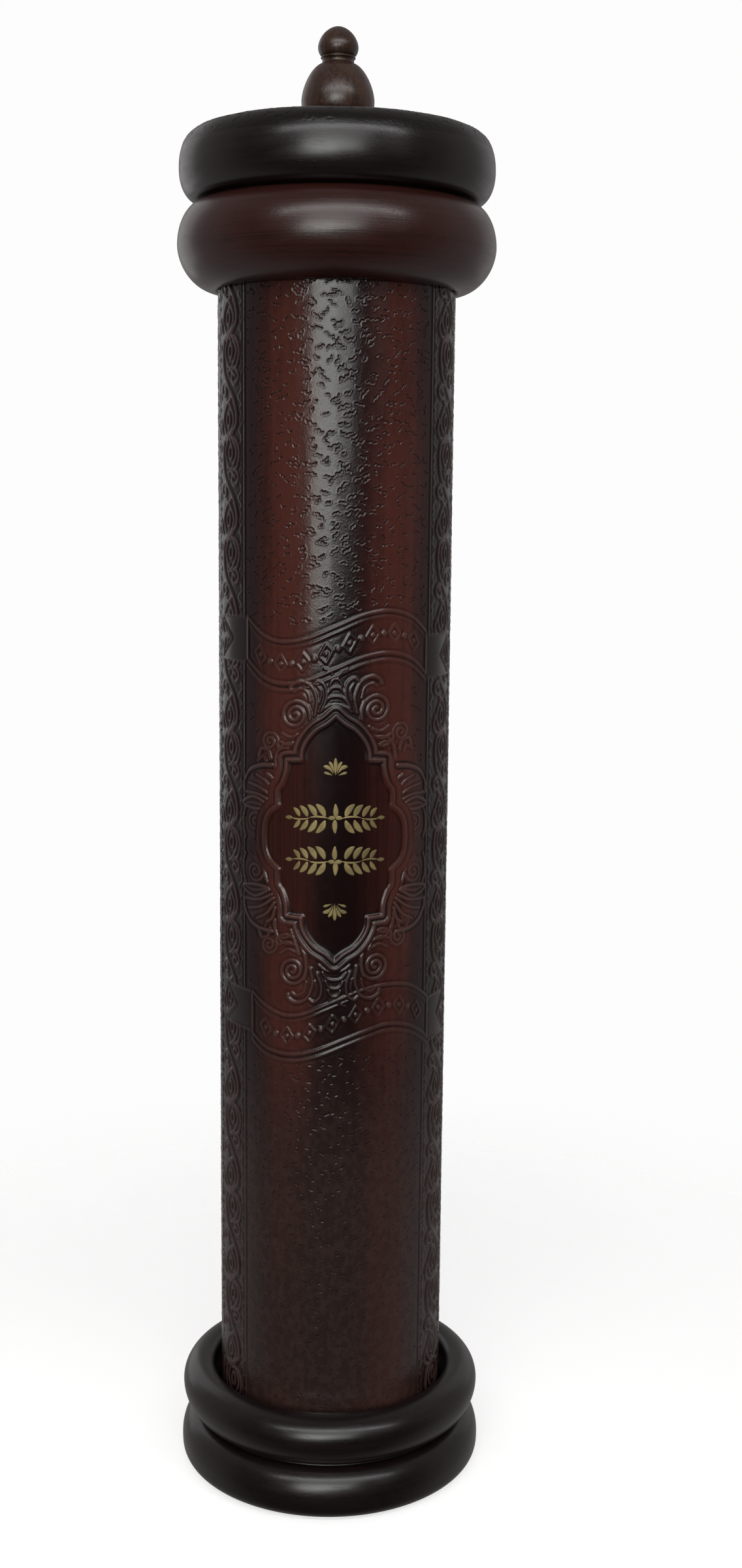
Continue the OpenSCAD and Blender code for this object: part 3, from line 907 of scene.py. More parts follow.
class Finish(Nodes):
    """A material of procedural nodes, on Object coordinates turned into millimetres."""

    def __init__(self, name):
        self.material = bpy.data.materials.new(name)
        super().__init__(self.material)
        self.object_place = self.node("ShaderNodeTexCoord", output="Object")

    def place(self, stretch, shift=(0, 0, 0)):
        """Object coordinates in millimetres, each axis times its stretch, and moved by a shift."""
        scale = tuple(s / MM for s in stretch)
        inputs = {"Vector": self.object_place, "Scale": scale, "Location": shift}
        return self.node("ShaderNodeMapping", {}, inputs)

    def noise(self, stretch, detail=3.0, rough=0.5, shift=(0, 0, 0), warp=0.0):
        """Cloudy noise of about one lump per millimetre, times the stretch of each axis."""
        inputs = {"Vector": self.place(stretch, shift=shift), "Scale": 1.0, "Detail": detail,
                  "Roughness": rough, "Distortion": warp}
        return self.node("ShaderNodeTexNoise", {}, inputs)

    def cells(self, stretch):
        """Distance to the nearest of scattered points, about one to a millimetre unstretched."""
        return self.node("ShaderNodeTexVoronoi", {}, {"Vector": self.place(stretch), "Scale": 1.0})

    def mark(self, name):
        """A number stored at the points of the mesh."""
        return self.node("ShaderNodeAttribute", {"attribute_name": name}, output="Fac")

    def mix(self, share, first, second):
        """One colour where share is 0 and the other where it is 1."""
        inputs = {0: share, 6: first, 7: second}
        return self.node("ShaderNodeMix", {"data_type": "RGBA"}, inputs, output=2)

    def bump(self, height, depth, under=None):
        """A normal tilted by a height of 0 to 1 that stands for a depth in millimetres."""
        inputs = {"Height": height, "Distance": depth * MM, "Strength": 1.0}
        if under is not None:
            inputs["Normal"] = under
        return self.node("ShaderNodeBump", {}, inputs)

    def shade(self, **inputs):
        """Ends the finish in one Principled shader whose sockets are named with underscores."""
        named = {key.replace("_", " "): value for key, value in inputs.items()}
        shader = self.node("ShaderNodeBsdfPrincipled", {}, named)
        self.node("ShaderNodeOutputMaterial", {}, {"Surface": shader}, output=None)
        return self.material


def paint(colour, factor=1.0):
    """A colour of the sidebar as a socket takes it, made lighter or darker by a factor."""
    return tuple(min(1.0, c * factor) for c in colour) + (1.0,)


def turned_wood(name, colour, light=2.2, streak=0.5, roughness=0.3, coat=0.25):
    """Lacquered turned wood: fine pores along the board's X axis, rings left by the turning
    tool, and slow clouds in the stain."""
    finish = Finish(name)
    grain = finish.noise((0.05, 0.7, 0.7), detail=5, rough=0.65, warp=0.4)
    pores = finish.noise((0.35, 2.4, 2.4), detail=2, rough=0.5).between(0.58, 0.72)
    rings = finish.noise((0.012, 0.012, 1.6), detail=4, rough=0.7)
    clouds = finish.noise((0.03, 0.03, 0.06), detail=3, rough=0.5, shift=(5, 3, 8))
    tinted = (grain * 0.55 + rings * streak + clouds * 0.45 - 0.25 * streak).between(0.28, 0.82)
    base = finish.mix(tinted, paint(colour, 0.55), paint(colour, light))
    base = finish.mix(pores * 0.5, base, paint(colour, 0.35))
    wear = finish.noise((0.12, 0.12, 0.5), detail=4, rough=0.6)
    rough = wear * 0.16 + (roughness - 0.13) + rings * 0.1 + pores * 0.05
    normal = finish.bump(rings, 0.035 * streak + 0.008)
    normal = finish.bump(grain - pores * 0.5, 0.02, normal)
    return finish.shade(Base_Color=base, Roughness=rough, Normal=normal, Coat_Weight=coat,
                        Coat_Roughness=0.22, Specular_IOR_Level=0.45)


def upright_wood(name, colour, roughness, coat):
    """Wood with its grain along the axis: dark pores, light flecks and broad figure."""
    finish = Finish(name)
    figure = finish.noise((0.45, 0.45, 0.04), detail=3, rough=0.6, warp=0.8)
    flecks = finish.noise((3.6, 3.6, 0.3), detail=3, rough=0.6).between(0.52, 0.68)
    pores = finish.noise((2.2, 2.2, 0.16), detail=2, rough=0.5, shift=(9, 4, 2)).between(0.56, 0.70)
    base = finish.mix(figure.between(0.3, 0.7), paint(colour, 0.6), paint(colour, 1.45))
    base = finish.mix(flecks * 0.65, base, paint(colour, 3.2))
    base = finish.mix(pores * 0.7, base, paint(colour, 0.25))
    rough = figure * 0.12 + (roughness - 0.06) + pores * 0.12
    normal = finish.bump(flecks * 0.4 - pores, 0.02)
    return finish.shade(Base_Color=base, Roughness=rough, Normal=normal, Coat_Weight=coat,
                        Coat_Roughness=0.3)


def tooled_leather(name, dye, dark, brown, roughness=0.18, coat_roughness=0.1):
    """Glossy embossed leather: a red dye that wears through to dark and, near the base, to brown, its
    share carrying painted shade as well; hollows darkened partly by antique stain and partly as painted
    shade, ridges lightened partly by wear and partly as a painted sheen, fine pores and creases, and a
    smooth brushed field."""
    finish = Finish(name)
    relief, hollow = finish.mark("relief"), finish.mark("hollow")
    field, red = finish.mark("field"), finish.mark("dye")
    clouds = finish.noise((0.045, 0.045, 0.011), detail=4, rough=0.55, warp=0.3)
    streaks = finish.noise((0.42, 0.42, 0.008), detail=4, rough=0.6)
    mottle = finish.noise((0.5, 0.5, 0.35), detail=5, rough=0.62)
    brush = finish.noise((2.4, 2.4, 0.02), detail=3, rough=0.6)
    height = finish.node("ShaderNodeSeparateXYZ", {}, {0: finish.object_place}, "Z")
    low = height.between(0.165, 0.09)
    ground = finish.mix(low, paint(dark), paint(brown))
    tint = finish.mix(low * 0.6, paint(dye), paint(brown, 2.0))
    # This share of red, from the dye mark, also holds painted shade: a dark reflection down the middle,
    # a darker lower part and a shadow under the collar
    worn = (red * (clouds * 1.1 + streaks * 0.9 + mottle * 0.55 - 0.25)).between(0.1, 1.0)
    base = finish.mix(worn, ground, tint)
    base = finish.mix((field * (brush.between(0.3, 0.75) * 0.3 + 0.42)).held(), base, paint(dark, 0.8))
    base = finish.mix(mottle.between(0.42, 0.62) * low * 0.3, base, paint(brown, 2.4))
    # Hollows are darkened: partly antique stain, partly painted shade
    dirt_and_painted_shade = hollow.between(-0.02, -0.16)
    base = finish.mix(dirt_and_painted_shade * 0.85, base, paint(dark, 0.4))
    # Ridge tops are lightened towards brown: partly wear, partly a painted sheen
    crest = relief.between(0.05, 0.35)
    base = finish.mix(crest * 0.6, base, paint(brown, 3.0))
    pores = finish.cells((1.9, 1.9, 1.9))
    creases = finish.noise((0.9, 0.9, 0.9), detail=6, rough=0.65, warp=0.6)
    rough = roughness + mottle * 0.10 - field * 0.06 + dirt_and_painted_shade * 0.10 + crest * 0.14
    normal = finish.bump(creases * (1 - field), 0.04)
    normal = finish.bump((1 - field) * pores + field * brush * 0.5, 0.018, normal)
    return finish.shade(Base_Color=base, Roughness=rough, Normal=normal, Coat_Weight=0.2,
                        Coat_Roughness=coat_roughness, Specular_IOR_Level=0.38)


def stamped_gold(name, colour):
    """Soft stamped foil: a metal with small worn freckles where the leather shows through."""
    finish = Finish(name)
    freckles = finish.noise((1.6, 1.6, 1.6), detail=4, rough=0.7).between(0.56, 0.70)
    clouds = finish.noise((0.2, 0.2, 0.2), detail=2)
    base = finish.mix(clouds.between(0.3, 0.7), paint(colour, 0.75), paint(colour, 1.2))
    base = finish.mix(freckles * 0.75, base, paint(colour, 0.18))
    rough = 0.5 + freckles * 0.25
    return finish.shade(Base_Color=base, Roughness=rough, Metallic=0.6 - freckles * 0.5,
                        Normal=finish.bump(freckles, -0.02))


def pile_cloth(name, colour, sheen, pile, depth):
    """Velvet or felt: a soft pile of short fibres with lighter and flattened patches."""
    finish = Finish(name)
    fibres = finish.noise((pile, pile, pile), detail=3, rough=0.7)
    patches = finish.noise((0.11, 0.11, 0.07), detail=4, rough=0.6, warp=0.5)
    base = finish.mix(patches.between(0.3, 0.7), paint(colour, 0.6), paint(colour, 1.5))
    base = finish.mix(fibres.between(0.35, 0.75) * 0.6, base, paint(colour, 2.2))
    return finish.shade(Base_Color=base, Roughness=0.85 + fibres * 0.1,
                        Normal=finish.bump(fibres, depth), Sheen_Weight=sheen, Sheen_Roughness=0.4,
                        Sheen_Tint=paint(colour, 6.0), Specular_IOR_Level=0.2)


def wound_board(name, colour):
    """Grey brown board wound from paper: slanting laps and short fibres."""
    finish = Finish(name)
    wave = {"Vector": finish.place((0.002, 0.002, 0.04)), "Scale": 1.0, "Distortion": 0.4}
    laps = finish.node("ShaderNodeTexWave", {"wave_profile": "SAW", "bands_direction": "Z"}, wave, 1)
    fibres = finish.noise((1.4, 1.4, 0.5), detail=4, rough=0.7)
    base = finish.mix(fibres.between(0.35, 0.7), paint(colour, 0.8), paint(colour, 1.15))
    base = finish.mix(laps.between(0.9, 1.0) * 0.5, base, paint(colour, 0.45))
    return finish.shade(Base_Color=base, Roughness=0.78 + fibres * 0.15,
                        Normal=finish.bump(fibres, 0.05))


def finish_makers():
    """How each finish is made in the sidebar's colours, by its name."""
    colours = bpy.context.scene.scroll_case_colours
    black = colours.ebonised
    return {
        "ebonised_wood": lambda n: turned_wood(n, black),
        "collar_wood": lambda n: turned_wood(
            n, colours.collar, light=2.4, streak=1.0, roughness=0.31, coat=0.3),
        "finial_wood": lambda n: upright_wood(n, colours.walnut, roughness=0.32, coat=0.3),
        "plain_wood": lambda n: upright_wood(n, colours.plain_wood, roughness=0.6, coat=0.0),
        "tube_board": lambda n: wound_board(n, colours.board),
        "tooled_leather": lambda n: tooled_leather(
            n, colours.leather, colours.leather_dark, colours.leather_brown),
        "crown_leather": lambda n: tooled_leather(
            n, black, black, black, roughness=0.27, coat_roughness=0.22),
        "gold_foil": lambda n: stamped_gold(n, colours.gold),
        "velvet": lambda n: pile_cloth(n, colours.velvet, sheen=0.8, pile=2.2, depth=0.12),
        "felt": lambda n: pile_cloth(n, colours.felt, sheen=0.15, pile=1.4, depth=0.16),
    }


def finish_piece(piece, finish_name):
    """Gives a piece its finish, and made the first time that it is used."""
    name = "scroll_case_" + finish_name
    material = bpy.data.materials.get(name) or finish_makers()[finish_name](name)
    piece.data.materials.clear()
    piece.data.materials.append(material)


def settle(piece, finish_name, body, node):
    """Finishes a piece, lets it ride on its body, and hides the solid that it stands for."""
    finish_piece(piece, finish_name)
    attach(piece, body)
    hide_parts(node)


# ---------------------------------------------------------------- gold leaves

def gold_leaves(name, leaves, ground, swell):
    """Thin curved plates, one to a leaf, laid on the tube at radius ground.

    A leaf is (x0, h0, x1, h1, x2, h2, width): its spine is the quadratic curve
    (1-s)^2 p0 + 2s(1-s) p1 + s^2 p2, and its half width is width * sin(pi s^swell)^0.8, so a
    greater swell puts the widest place nearer the tip. Across it, t goes from -1 to 1, and the
    top is domed a little towards t = 0.
    """
    leaf = np.asarray(leaves, float)
    s = np.linspace(0, 1, 12)[1:-1][None, :, None]
    start, bend, end = (leaf[:, None, i:i + 2] for i in (0, 2, 4))
    spine = (1 - s) ** 2 * start + 2 * s * (1 - s) * bend + s ** 2 * end
    slope = 2 * (1 - s) * (bend - start) + 2 * s * (end - bend)
    slope /= np.linalg.norm(slope, axis=-1, keepdims=True)
    side = np.stack([slope[..., 1], -slope[..., 0]], -1)
    half = leaf[:, None, 6:7] * np.sin(np.pi * s ** swell) ** 0.8
    across = np.array([-1.0, -0.7, -0.3, 0.3, 0.7, 1.0, 0.6, -0.6])
    lift = np.array([0.02, 0.035, 0.045, 0.045, 0.035, 0.02, -0.06, -0.06])
    flat = spine[:, :, None] + side[:, :, None] * (half[..., None] * across[None, None, :, None])
    rings = on_tube(flat, ground + lift)
    tips = on_tube(leaf[:, [[0, 1], [4, 5]]], ground - 0.02)
    blocks = [tipped_shell(ring, low, high) for ring, (low, high) in zip(rings, tips)]
    size = len(blocks[0][0])
    points = np.concatenate([block[0] for block in blocks])
    faces = [face + i * size for i, block in enumerate(blocks) for face in block[1]]
    return make_piece(name, points, faces)


def on_tube(flat, radius):
    """Lays places measured from the cartouche's middle on the tube, at a radius."""
    angle = (flat[..., 0] + CENTRE_U) / TUBE_R
    z = flat[..., 1] + CENTRE_Z
    return np.stack([radius * np.sin(angle), -radius * np.cos(angle), z], -1)


def both_sides(leaves):
    """The leaves and their mirror images."""
    flip = np.array([-1, 1, -1, 1, -1, 1, 1.0])
    return np.concatenate([leaves, np.asarray(leaves) * flip])


def stood_at(leaves, at, up):
    """The leaves moved to the height at, upright where up is 1 and upside down where it is -1."""
    return leaves * [1, up, 1, up, 1, up, 1] + [0, at, 0, at, 0, at, 0]


def palmette_leaves(at, up):
    """A fan of leaves over a base, standing up or hanging down."""
    fan = both_sides([(0.35, -2.2, 0.7, 0.5, 2.0, 1.7, 0.52), (0.6, -2.2, 1.6, 0.5, 3.7, 0.2, 0.62),
                      (0.7, -2.4, 2.2, -1.7, 3.5, -1.5, 0.42)])
    return stood_at(np.concatenate([fan, [(0, -2.6, 0, 0, 0, 2.9, 0.62)]]), at, up)


def sprig_leaves(at, up):
    """One row of the middle ornament: a rosette, and on both sides a stem with paired leaves."""
    sprig = [(1.6, 0, 5.0, 1.1, 8.0, 0.1, 0.32), (7.4, 0.2, 10.6, -0.9, 13.6, 0.1, 0.30)]
    for x, share in ((3.0, 1.0), (5.6, 0.95), (8.2, 0.85), (10.6, 0.7)):
        for way in (1, -1):
            sprig.append((x, 0.25 * way, x + 0.5 * share, 2.9 * way * share, x + 2.9 * share,
                          4.3 * way * share, 1.0 * share))
    sprig.append((12.7, 0.0, 13.9, 0.0, 15.1, 0.0, 0.62))
    rosette = both_sides([(0.0, 0.0, 1.0, 0.5, 2.2, 0.0, 0.7)])
    upright = [(0, 0.2, 0.3, 1.6, 0, 4.6, 0.85), (0, -0.2, -0.3, -1.6, 0, -4.6, 0.85)]
    return stood_at(np.concatenate([both_sides(sprig), rosette, upright]), at, up)


# ---------------------------------------------------------------- pieces

# Flat strips round the pieces inside the case and the finial, and round the soft discs
INNER_SEGMENTS, DISC_SEGMENTS = 192, 160


def sleeve_outline(inner, outer, low, high, easing):
    """The section of a plain sleeve: an upright oblong with eased corners."""
    return rounded([(inner, low), (outer, low), (outer, high), (inner, high)], easing)


def disc(name, radius, low, high):
    """A plain soft disc: an outline from the axis out and back, with its corners eased."""
    easing = 0.35
    outline = rounded([(0, low), (radius, low), (radius, high), (0, high)], easing, closed=False)
    return turned(name, outline, DISC_SEGMENTS)


class PieceOperator(bpy.types.Operator):
    """What the operators of the pieces share."""

    bl_options = {"REGISTER", "UNDO"}

    def execute(self, context):
        scene = context.scene
        self.build(scene.scroll_case_turning, scene.scroll_case_tooling)
        return {"FINISHED"}


class SCROLLCASE_OT_base(PieceOperator):
    """Builds the turned base: two mouldings, the felt under them and the plug inside"""

    bl_idname = "scroll_case.base"
    bl_label = "Turned Base"

    def build(self, turning, tooling):
        recess, groove = FELT_R + 0.3, turning.groove_r / MM
        widest = (FOOT_R, turning.foot_crest / MM)
        step = (groove + 1.2, FOOT_HIGH - 0.7)
        foot = turned("foot_moulding", np.concatenate([
            [(0, FELT_HIGH), (recess, FELT_HIGH), (recess, FOOT_LOW)],
            quarter(widest, (recess + 1.5, FOOT_LOW), 3.6)[::-1],
            quarter(widest, step, 2.05),
            rounded([step, (step[0], FOOT_HIGH), (0, FOOT_HIGH)], 0.25, closed=False)[1:]]),
            turning.segments)
        settle(foot, "ebonised_wood", "case", "base_foot")

        crest, lip = turning.shoulder_crest / MM, (turning.lip_r / MM, SHOULDER_HIGH)
        shoulder = turned("shoulder_moulding", np.concatenate([
            [(BEDDING_R, SHOULDER_LOW)],
            quarter((SHOULDER_R, crest), (groove, SHOULDER_LOW), 2.0)[::-1],
            quarter((SHOULDER_R, crest), lip, 2.0),
            quarter((lip[0] - 3.5, SHOULDER_HIGH - 2.6), lip, 2.0)[::-1],
            [(BEDDING_R + 0.5, crest), (BEDDING_R, crest)]]), turning.segments)
        settle(shoulder, "ebonised_wood", "case", "base_collar")

        felt = disc("foot_felt_pad", FELT_R, FELT_LOW, FELT_HIGH)
        settle(felt, "felt", "case", "foot_felt")
        finish_piece(frame["nodes"]["base_plug"], "plain_wood")


class SCROLLCASE_OT_tube(PieceOperator):
    """Builds the board tube under the leather"""

    bl_idname = "scroll_case.tube"
    bl_label = "Board Tube"

    def build(self, turning, tooling):
        wall = sleeve_outline(BOARD_IN_R, BOARD_R, TUBE_LOW, TUBE_HIGH, 0.3)
        tube = turned("board_tube", wall, INNER_SEGMENTS)
        settle(tube, "tube_board", "case", "core_tube")


class SCROLLCASE_OT_leather(PieceOperator):
    """Builds the tooled leather in ten pieces that meet along border lines and the back seam"""

    bl_idname = "scroll_case.leather"
    bl_label = "Tooled Leather"

    def build(self, turning, tooling):
        low_joint, high_joint = CENTRE_Z - 66.5, CENTRE_Z + 68.5
        middle = (TUBE_LOW + TUBE_HIGH) / 2
        front, left = (FRONT_LEFT, FRONT_RIGHT), (BAND_LEFT, FRONT_LEFT)
        right, near_back, far_back = (FRONT_RIGHT, BAND_RIGHT), (BAND_RIGHT, SEAM), (SEAM, BACK_END)
        whole, lower_half, upper_half = (TUBE_LOW, TUBE_HIGH), (TUBE_LOW, middle), (middle, TUBE_HIGH)
        for name, around, heights, pitch in (
                ("leather_front_lower", front, (TUBE_LOW, low_joint), 0.275),
                ("leather_front_middle_lower", front, (low_joint, CENTRE_Z), 0.25),
                ("leather_front_middle_upper", front, (CENTRE_Z, high_joint), 0.25),
                ("leather_front_upper", front, (high_joint, TUBE_HIGH), 0.25),
                ("leather_band_left", left, whole, 0.29),
                ("leather_band_right", right, whole, 0.29),
                ("leather_back_right_lower", near_back, lower_half, 0.45),
                ("leather_back_right_upper", near_back, upper_half, 0.45),
                ("leather_back_left_lower", far_back, lower_half, 0.45),
                ("leather_back_left_upper", far_back, upper_half, 0.45)):
            panel = leather_panel(name, spaced(*around, pitch), tube_rows(*heights, pitch), tooling)
            settle(panel, "tooled_leather", "case", "leather_wrap")


class SCROLLCASE_OT_gold(PieceOperator):
    """Lays the gold ornaments in the centre field"""

    bl_idname = "scroll_case.gold"
    bl_label = "Gold Foil"

    def build(self, turning, tooling):
        ground = TUBE_R - LEATHER_REST - tooling.field_depth / MM
        for name, leaves, swell in (("gold_palmette_upper", palmette_leaves(21.2, 1), 1.7),
                                    ("gold_palmette_lower", palmette_leaves(-21.2, -1), 1.7),
                                    ("gold_sprig_upper", sprig_leaves(6.2, 1), 0.95),
                                    ("gold_sprig_lower", sprig_leaves(-6.2, -1), 0.95)):
            settle(gold_leaves(name, leaves, ground, swell), "gold_foil", "case", "gold_foil")


class SCROLLCASE_OT_lining(PieceOperator):
    """Builds the velvet sleeve and the velvet on the floor of the tube"""

    bl_idname = "scroll_case.lining"
    bl_label = "Velvet Lining"

    def build(self, turning, tooling):
        wall = sleeve_outline(BORE_R, SLEEVE_R, SLEEVE_LOW, SLEEVE_HIGH, 0.35)
        heights = np.linspace(SLEEVE_HIGH - 1, SLEEVE_LOW + 1, 60)
        inner = np.column_stack([np.full_like(heights, BORE_R), heights])
        # From the second corner round to the last, down the inner wall, and the first corner
        outline = np.concatenate([wall[CORNER_POINTS:], inner, wall[:CORNER_POINTS]])
        sleeve = turned("velvet_sleeve", outline, INNER_SEGMENTS, self.nap)
        settle(sleeve, "velvet", "case", "lining_sleeve")
        floor = turned("velvet_floor", np.concatenate([
            [(0, FLOOR_LOW), (FLOOR_R, FLOOR_LOW)],
            rounded([(FLOOR_R, FLOOR_LOW), (FLOOR_R, FLOOR_HIGH - 0.3), (FLOOR_R - 2, FLOOR_HIGH),
                     (0, FLOOR_HIGH)], 0.25, closed=False)[1:]]), DISC_SEGMENTS)
        settle(floor, "velvet", "case", "floor_lining")

    @staticmethod
    def nap(r, z, angle):
        """The inner wall's seam at the back, a bell over the way from it, and soft unevenness, two
        crossed sine waves. Both only ever widen the bore."""
        inside = r < BORE_R + 0.3
        seam = 0.35 * np.exp(-((angle - np.pi / 2) * BORE_R / 0.8) ** 2)
        waves = 0.06 * (1 + np.sin(7 * angle + z / 23)) + 0.04 * (1 + np.sin(3 * angle - z / 11))
        return np.where(inside, seam + waves, 0.0)


class SCROLLCASE_OT_collar(PieceOperator):
    """Builds the turned collar round the top of the tube, with its mouth"""

    bl_idname = "scroll_case.collar"
    bl_label = "Top Collar"

    def build(self, turning, tooling):
        widest = (COLLAR_R, turning.collar_crest / MM)
        groove, mouth = turning.collar_groove_r / MM, turning.mouth_r / MM
        lip = rounded([(groove, COLLAR_HIGH), (mouth, COLLAR_HIGH), (mouth, TUBE_HIGH),
                       (BEDDING_R, TUBE_HIGH)], 0.5, closed=False)
        collar = turned("top_collar_moulding", np.concatenate([
            [(BEDDING_R, COLLAR_LOW)],
            quarter(widest, (BEDDING_R + 0.5, COLLAR_LOW), 1.85)[::-1],
            quarter(widest, (groove, COLLAR_HIGH), 2.0),
            lip[1:]]), turning.segments)
        settle(collar, "collar_wood", "case", "top_collar")


class SCROLLCASE_OT_lid(PieceOperator):
    """Builds the turned lid and the leather on its crown"""

    bl_idname = "scroll_case.lid"
    bl_label = "Lid"

    def build(self, turning, tooling):
        widest = (LID_R, turning.lid_crest / MM)
        groove, hole, socket = turning.collar_groove_r / MM + 0.7, DOWEL_R + GLUE, PLUG_R + GLUE
        rim = quarter(widest, (turning.crown_r / MM, turning.crown_edge / MM), 2.4, 48)
        skin = np.concatenate([
            rim[rim[:, 0] <= LEATHER_RIM_R], [(CROWN_SEAT_R, CROWN_HIGH), (hole, CROWN_HIGH)]])
        bare = rim[rim[:, 0] > LEATHER_RIM_R]
        # One more ring close to the leather's edge keeps the shading even up to it
        bare = np.concatenate([bare, [0.1 * bare[-1] + 0.9 * skin[0], skin[0]]])
        bed = self.moved_out(skin, -CROWN_LEATHER)
        chamfer = (groove + 1.0, LID_LOW + 0.4)
        lid = turned("lid_moulding", np.concatenate([
            [(0, PLUG_HIGH), (socket, PLUG_HIGH), (socket, LID_LOW)],
            rounded([(socket, LID_LOW), (groove, LID_LOW), chamfer], 0.2, closed=False)[1:],
            quarter(widest, chamfer, 2.1)[::-1],
            bare, bed, [(hole, DOWEL_LOW), (0, DOWEL_LOW)]]), turning.segments)
        settle(lid, "ebonised_wood", "lid", "lid_top")
        crown = self.crown(tooling, skin, hole)
        settle(crown, "crown_leather", "lid", "lid_leather")

    @staticmethod
    def moved_out(outline, by):
        """The outline moved along its outward normals, which are its slopes turned a quarter."""
        slope = np.gradient(outline, axis=0)
        slope /= np.linalg.norm(slope, axis=1, keepdims=True)
        return outline + by * np.stack([slope[:, 1], -slope[:, 0]], -1)

    def crown(self, tooling, skin, inner):
        """The leather on the lid: down over the rounding of the rim, with crackle all over.

        skin is its outline from the rim in, which ends at the radius inner. Point (i, j) is the
        outline's point i at the angle a_j, moved outwards by the relief that a flat square of
        leather has at (s_i cos a_j, s_i sin a_j), where s_i is the way along the outline from the
        axis, plus a slow swell of crossed sine waves. Both die out at the two edges.
        """
        along = np.append(0, np.cumsum(np.linalg.norm(np.diff(skin, axis=0), axis=1)))
        # The first two rings lie close together, so the edge shades like the wood beside it
        places = np.concatenate([[0], spaced(0.04, along[-2], 0.34), along[-1:]])
        outline = np.stack([np.interp(places, along, skin[:, k]) for k in (0, 1)], -1)
        out = self.moved_out(outline, 1.0) - outline
        s = inner + along[-1] - places
        reach = s.max() + 1
        plane = spaced(-reach, reach, 0.35)
        relief = Relief(plane, plane)
        crackle(relief, tooling, (-reach, -reach), (reach, reach), tooling.seed + 5, lambda u, v: 0.75)
        columns = 640
        angle = np.linspace(0, FULL_TURN, columns, endpoint=False)[None, :]
        x, y = s[:, None] * np.cos(angle), s[:, None] * np.sin(angle)
        depth = between_places(plane, relief.heights(), x, y)
        # Hollows for the finish, which darkens them partly as painted shade
        dirt_and_painted_shade = between_places(plane, relief.hollows(), x, y)
        fade = np.interp(places, [0.3, 2.3, along[-2] - 1.5, along[-2]], [0, 1, 1, 0])[:, None]
        lift = fade * (1.3 * depth + 0.07 + 0.05 * np.sin(x / 4) * np.cos(y / 5))
        r, z = (outline[:, k, None] + out[:, k, None] * lift for k in (0, 1))
        top = np.stack([r * np.cos(angle), r * np.sin(angle), z], -1)
        below = self.moved_out(skin, GLUE - CROWN_LEATHER)[::-1]
        r, z = below[:, :1], below[:, 1:]
        under = np.stack(np.broadcast_arrays(r * np.cos(angle), r * np.sin(angle), z), -1)
        rings = np.concatenate([top, under])
        plain = np.zeros(len(below) * columns)
        blank = np.zeros(len(rings) * columns)
        marks = {
            "relief": np.concatenate([(fade * depth).ravel(), plain]),
            "hollow": np.concatenate([(fade * dirt_and_painted_shade).ravel(), plain]),
            "field": blank,
            "dye": blank,
        }
        faces = wrapped_quads(len(rings), columns, closed_rows=True)
        return make_piece("crown_leather", rings.reshape(-1, 3), [faces], marks=marks)


class SCROLLCASE_OT_plug(PieceOperator):
    """Builds the plug under the lid with its felt band and its velvet"""

    bl_idname = "scroll_case.plug"
    bl_label = "Lid Plug"

    def build(self, turning, tooling):
        chamfer = 0.6
        plug = turned("plug_body", rounded(
            [(0, PLUG_LOW), (PLUG_R - chamfer, PLUG_LOW), (PLUG_R, PLUG_LOW + chamfer),
             (PLUG_R, PLUG_HIGH), (0, PLUG_HIGH)], 0.25, closed=False), INNER_SEGMENTS)
        settle(plug, "plain_wood", "lid", "lid_plug")
        wall = sleeve_outline(PLUG_R + GLUE, BAND_R, BAND_LOW, BAND_HIGH, 0.3)
        settle(turned("plug_felt_band", wall, INNER_SEGMENTS), "felt", "lid", "plug_felt")
        cloth = disc("plug_velvet", CLOTH_R, CLOTH_LOW, CLOTH_HIGH)
        settle(cloth, "velvet", "lid", "plug_lining")


class SCROLLCASE_OT_finial(PieceOperator):
    """Builds the turned vase and ball on the lid"""

    bl_idname = "scroll_case.finial"
    bl_label = "Finial"

    def build(self, turning, tooling):
        neck, ball = turning.neck_r / MM, turning.ball_r / MM
        hole, flange, foot_r = DOWEL_R + GLUE, FINIAL_R - 0.3, FINIAL_R - 0.95
        # Heights of the vase's widest line and its top, of the bead, and of the ball's middle
        wide, shoulder, waist, middle = (FINIAL_LOW + h for h in (4.0, 14.3, 16.0, 18.8))
        bead = np.linspace(-np.pi / 2, np.pi / 2, 9)
        finial = turned("finial_turning", np.concatenate([
            [(0, DOWEL_HIGH), (hole, DOWEL_HIGH), (hole, FINIAL_LOW)],
            rounded([(hole, FINIAL_LOW), (flange, FINIAL_LOW), (flange, FINIAL_LOW + 0.7),
                     (foot_r, FINIAL_LOW + 0.8)], 0.12, closed=False)[1:],
            quarter((FINIAL_R, wide), (foot_r, FINIAL_LOW + 0.85), 2.0)[::-1],
            quarter((FINIAL_R, wide), (neck, shoulder), 1.62, 48),
            np.stack([neck + 0.45 * np.cos(bead), waist + 0.35 * np.sin(bead)], -1),
            quarter((ball, middle), (neck, waist + 0.5), 1.9)[::-1],
            quarter((ball, middle), (0, FINIAL_HIGH), 1.8)]), INNER_SEGMENTS)
        settle(finial, "finial_wood", "lid", "finial")
        finish_piece(frame["nodes"]["finial_dowel"], "plain_wood")


# ---------------------------------------------------------------- stage

WHITE = (1, 1, 1)


def softbox(name, size, place, aim, power, colour):
    """A rectangular light of a width and height, at a place and turned to an aim, in metres."""
    light = bpy.data.lights.new(name, "AREA")
    light.shape = "RECTANGLE"
    light.size, light.size_y = size
    light.energy, light.color = power, colour
    lamp = bpy.data.objects.new(name, light)
    bpy.context.scene.collection.objects.link(lamp)
    lamp.location = place
    lamp.rotation_euler = (Vector(aim) - Vector(place)).to_track_quat("-Z", "Y").to_euler()
    lamp.visible_camera = False


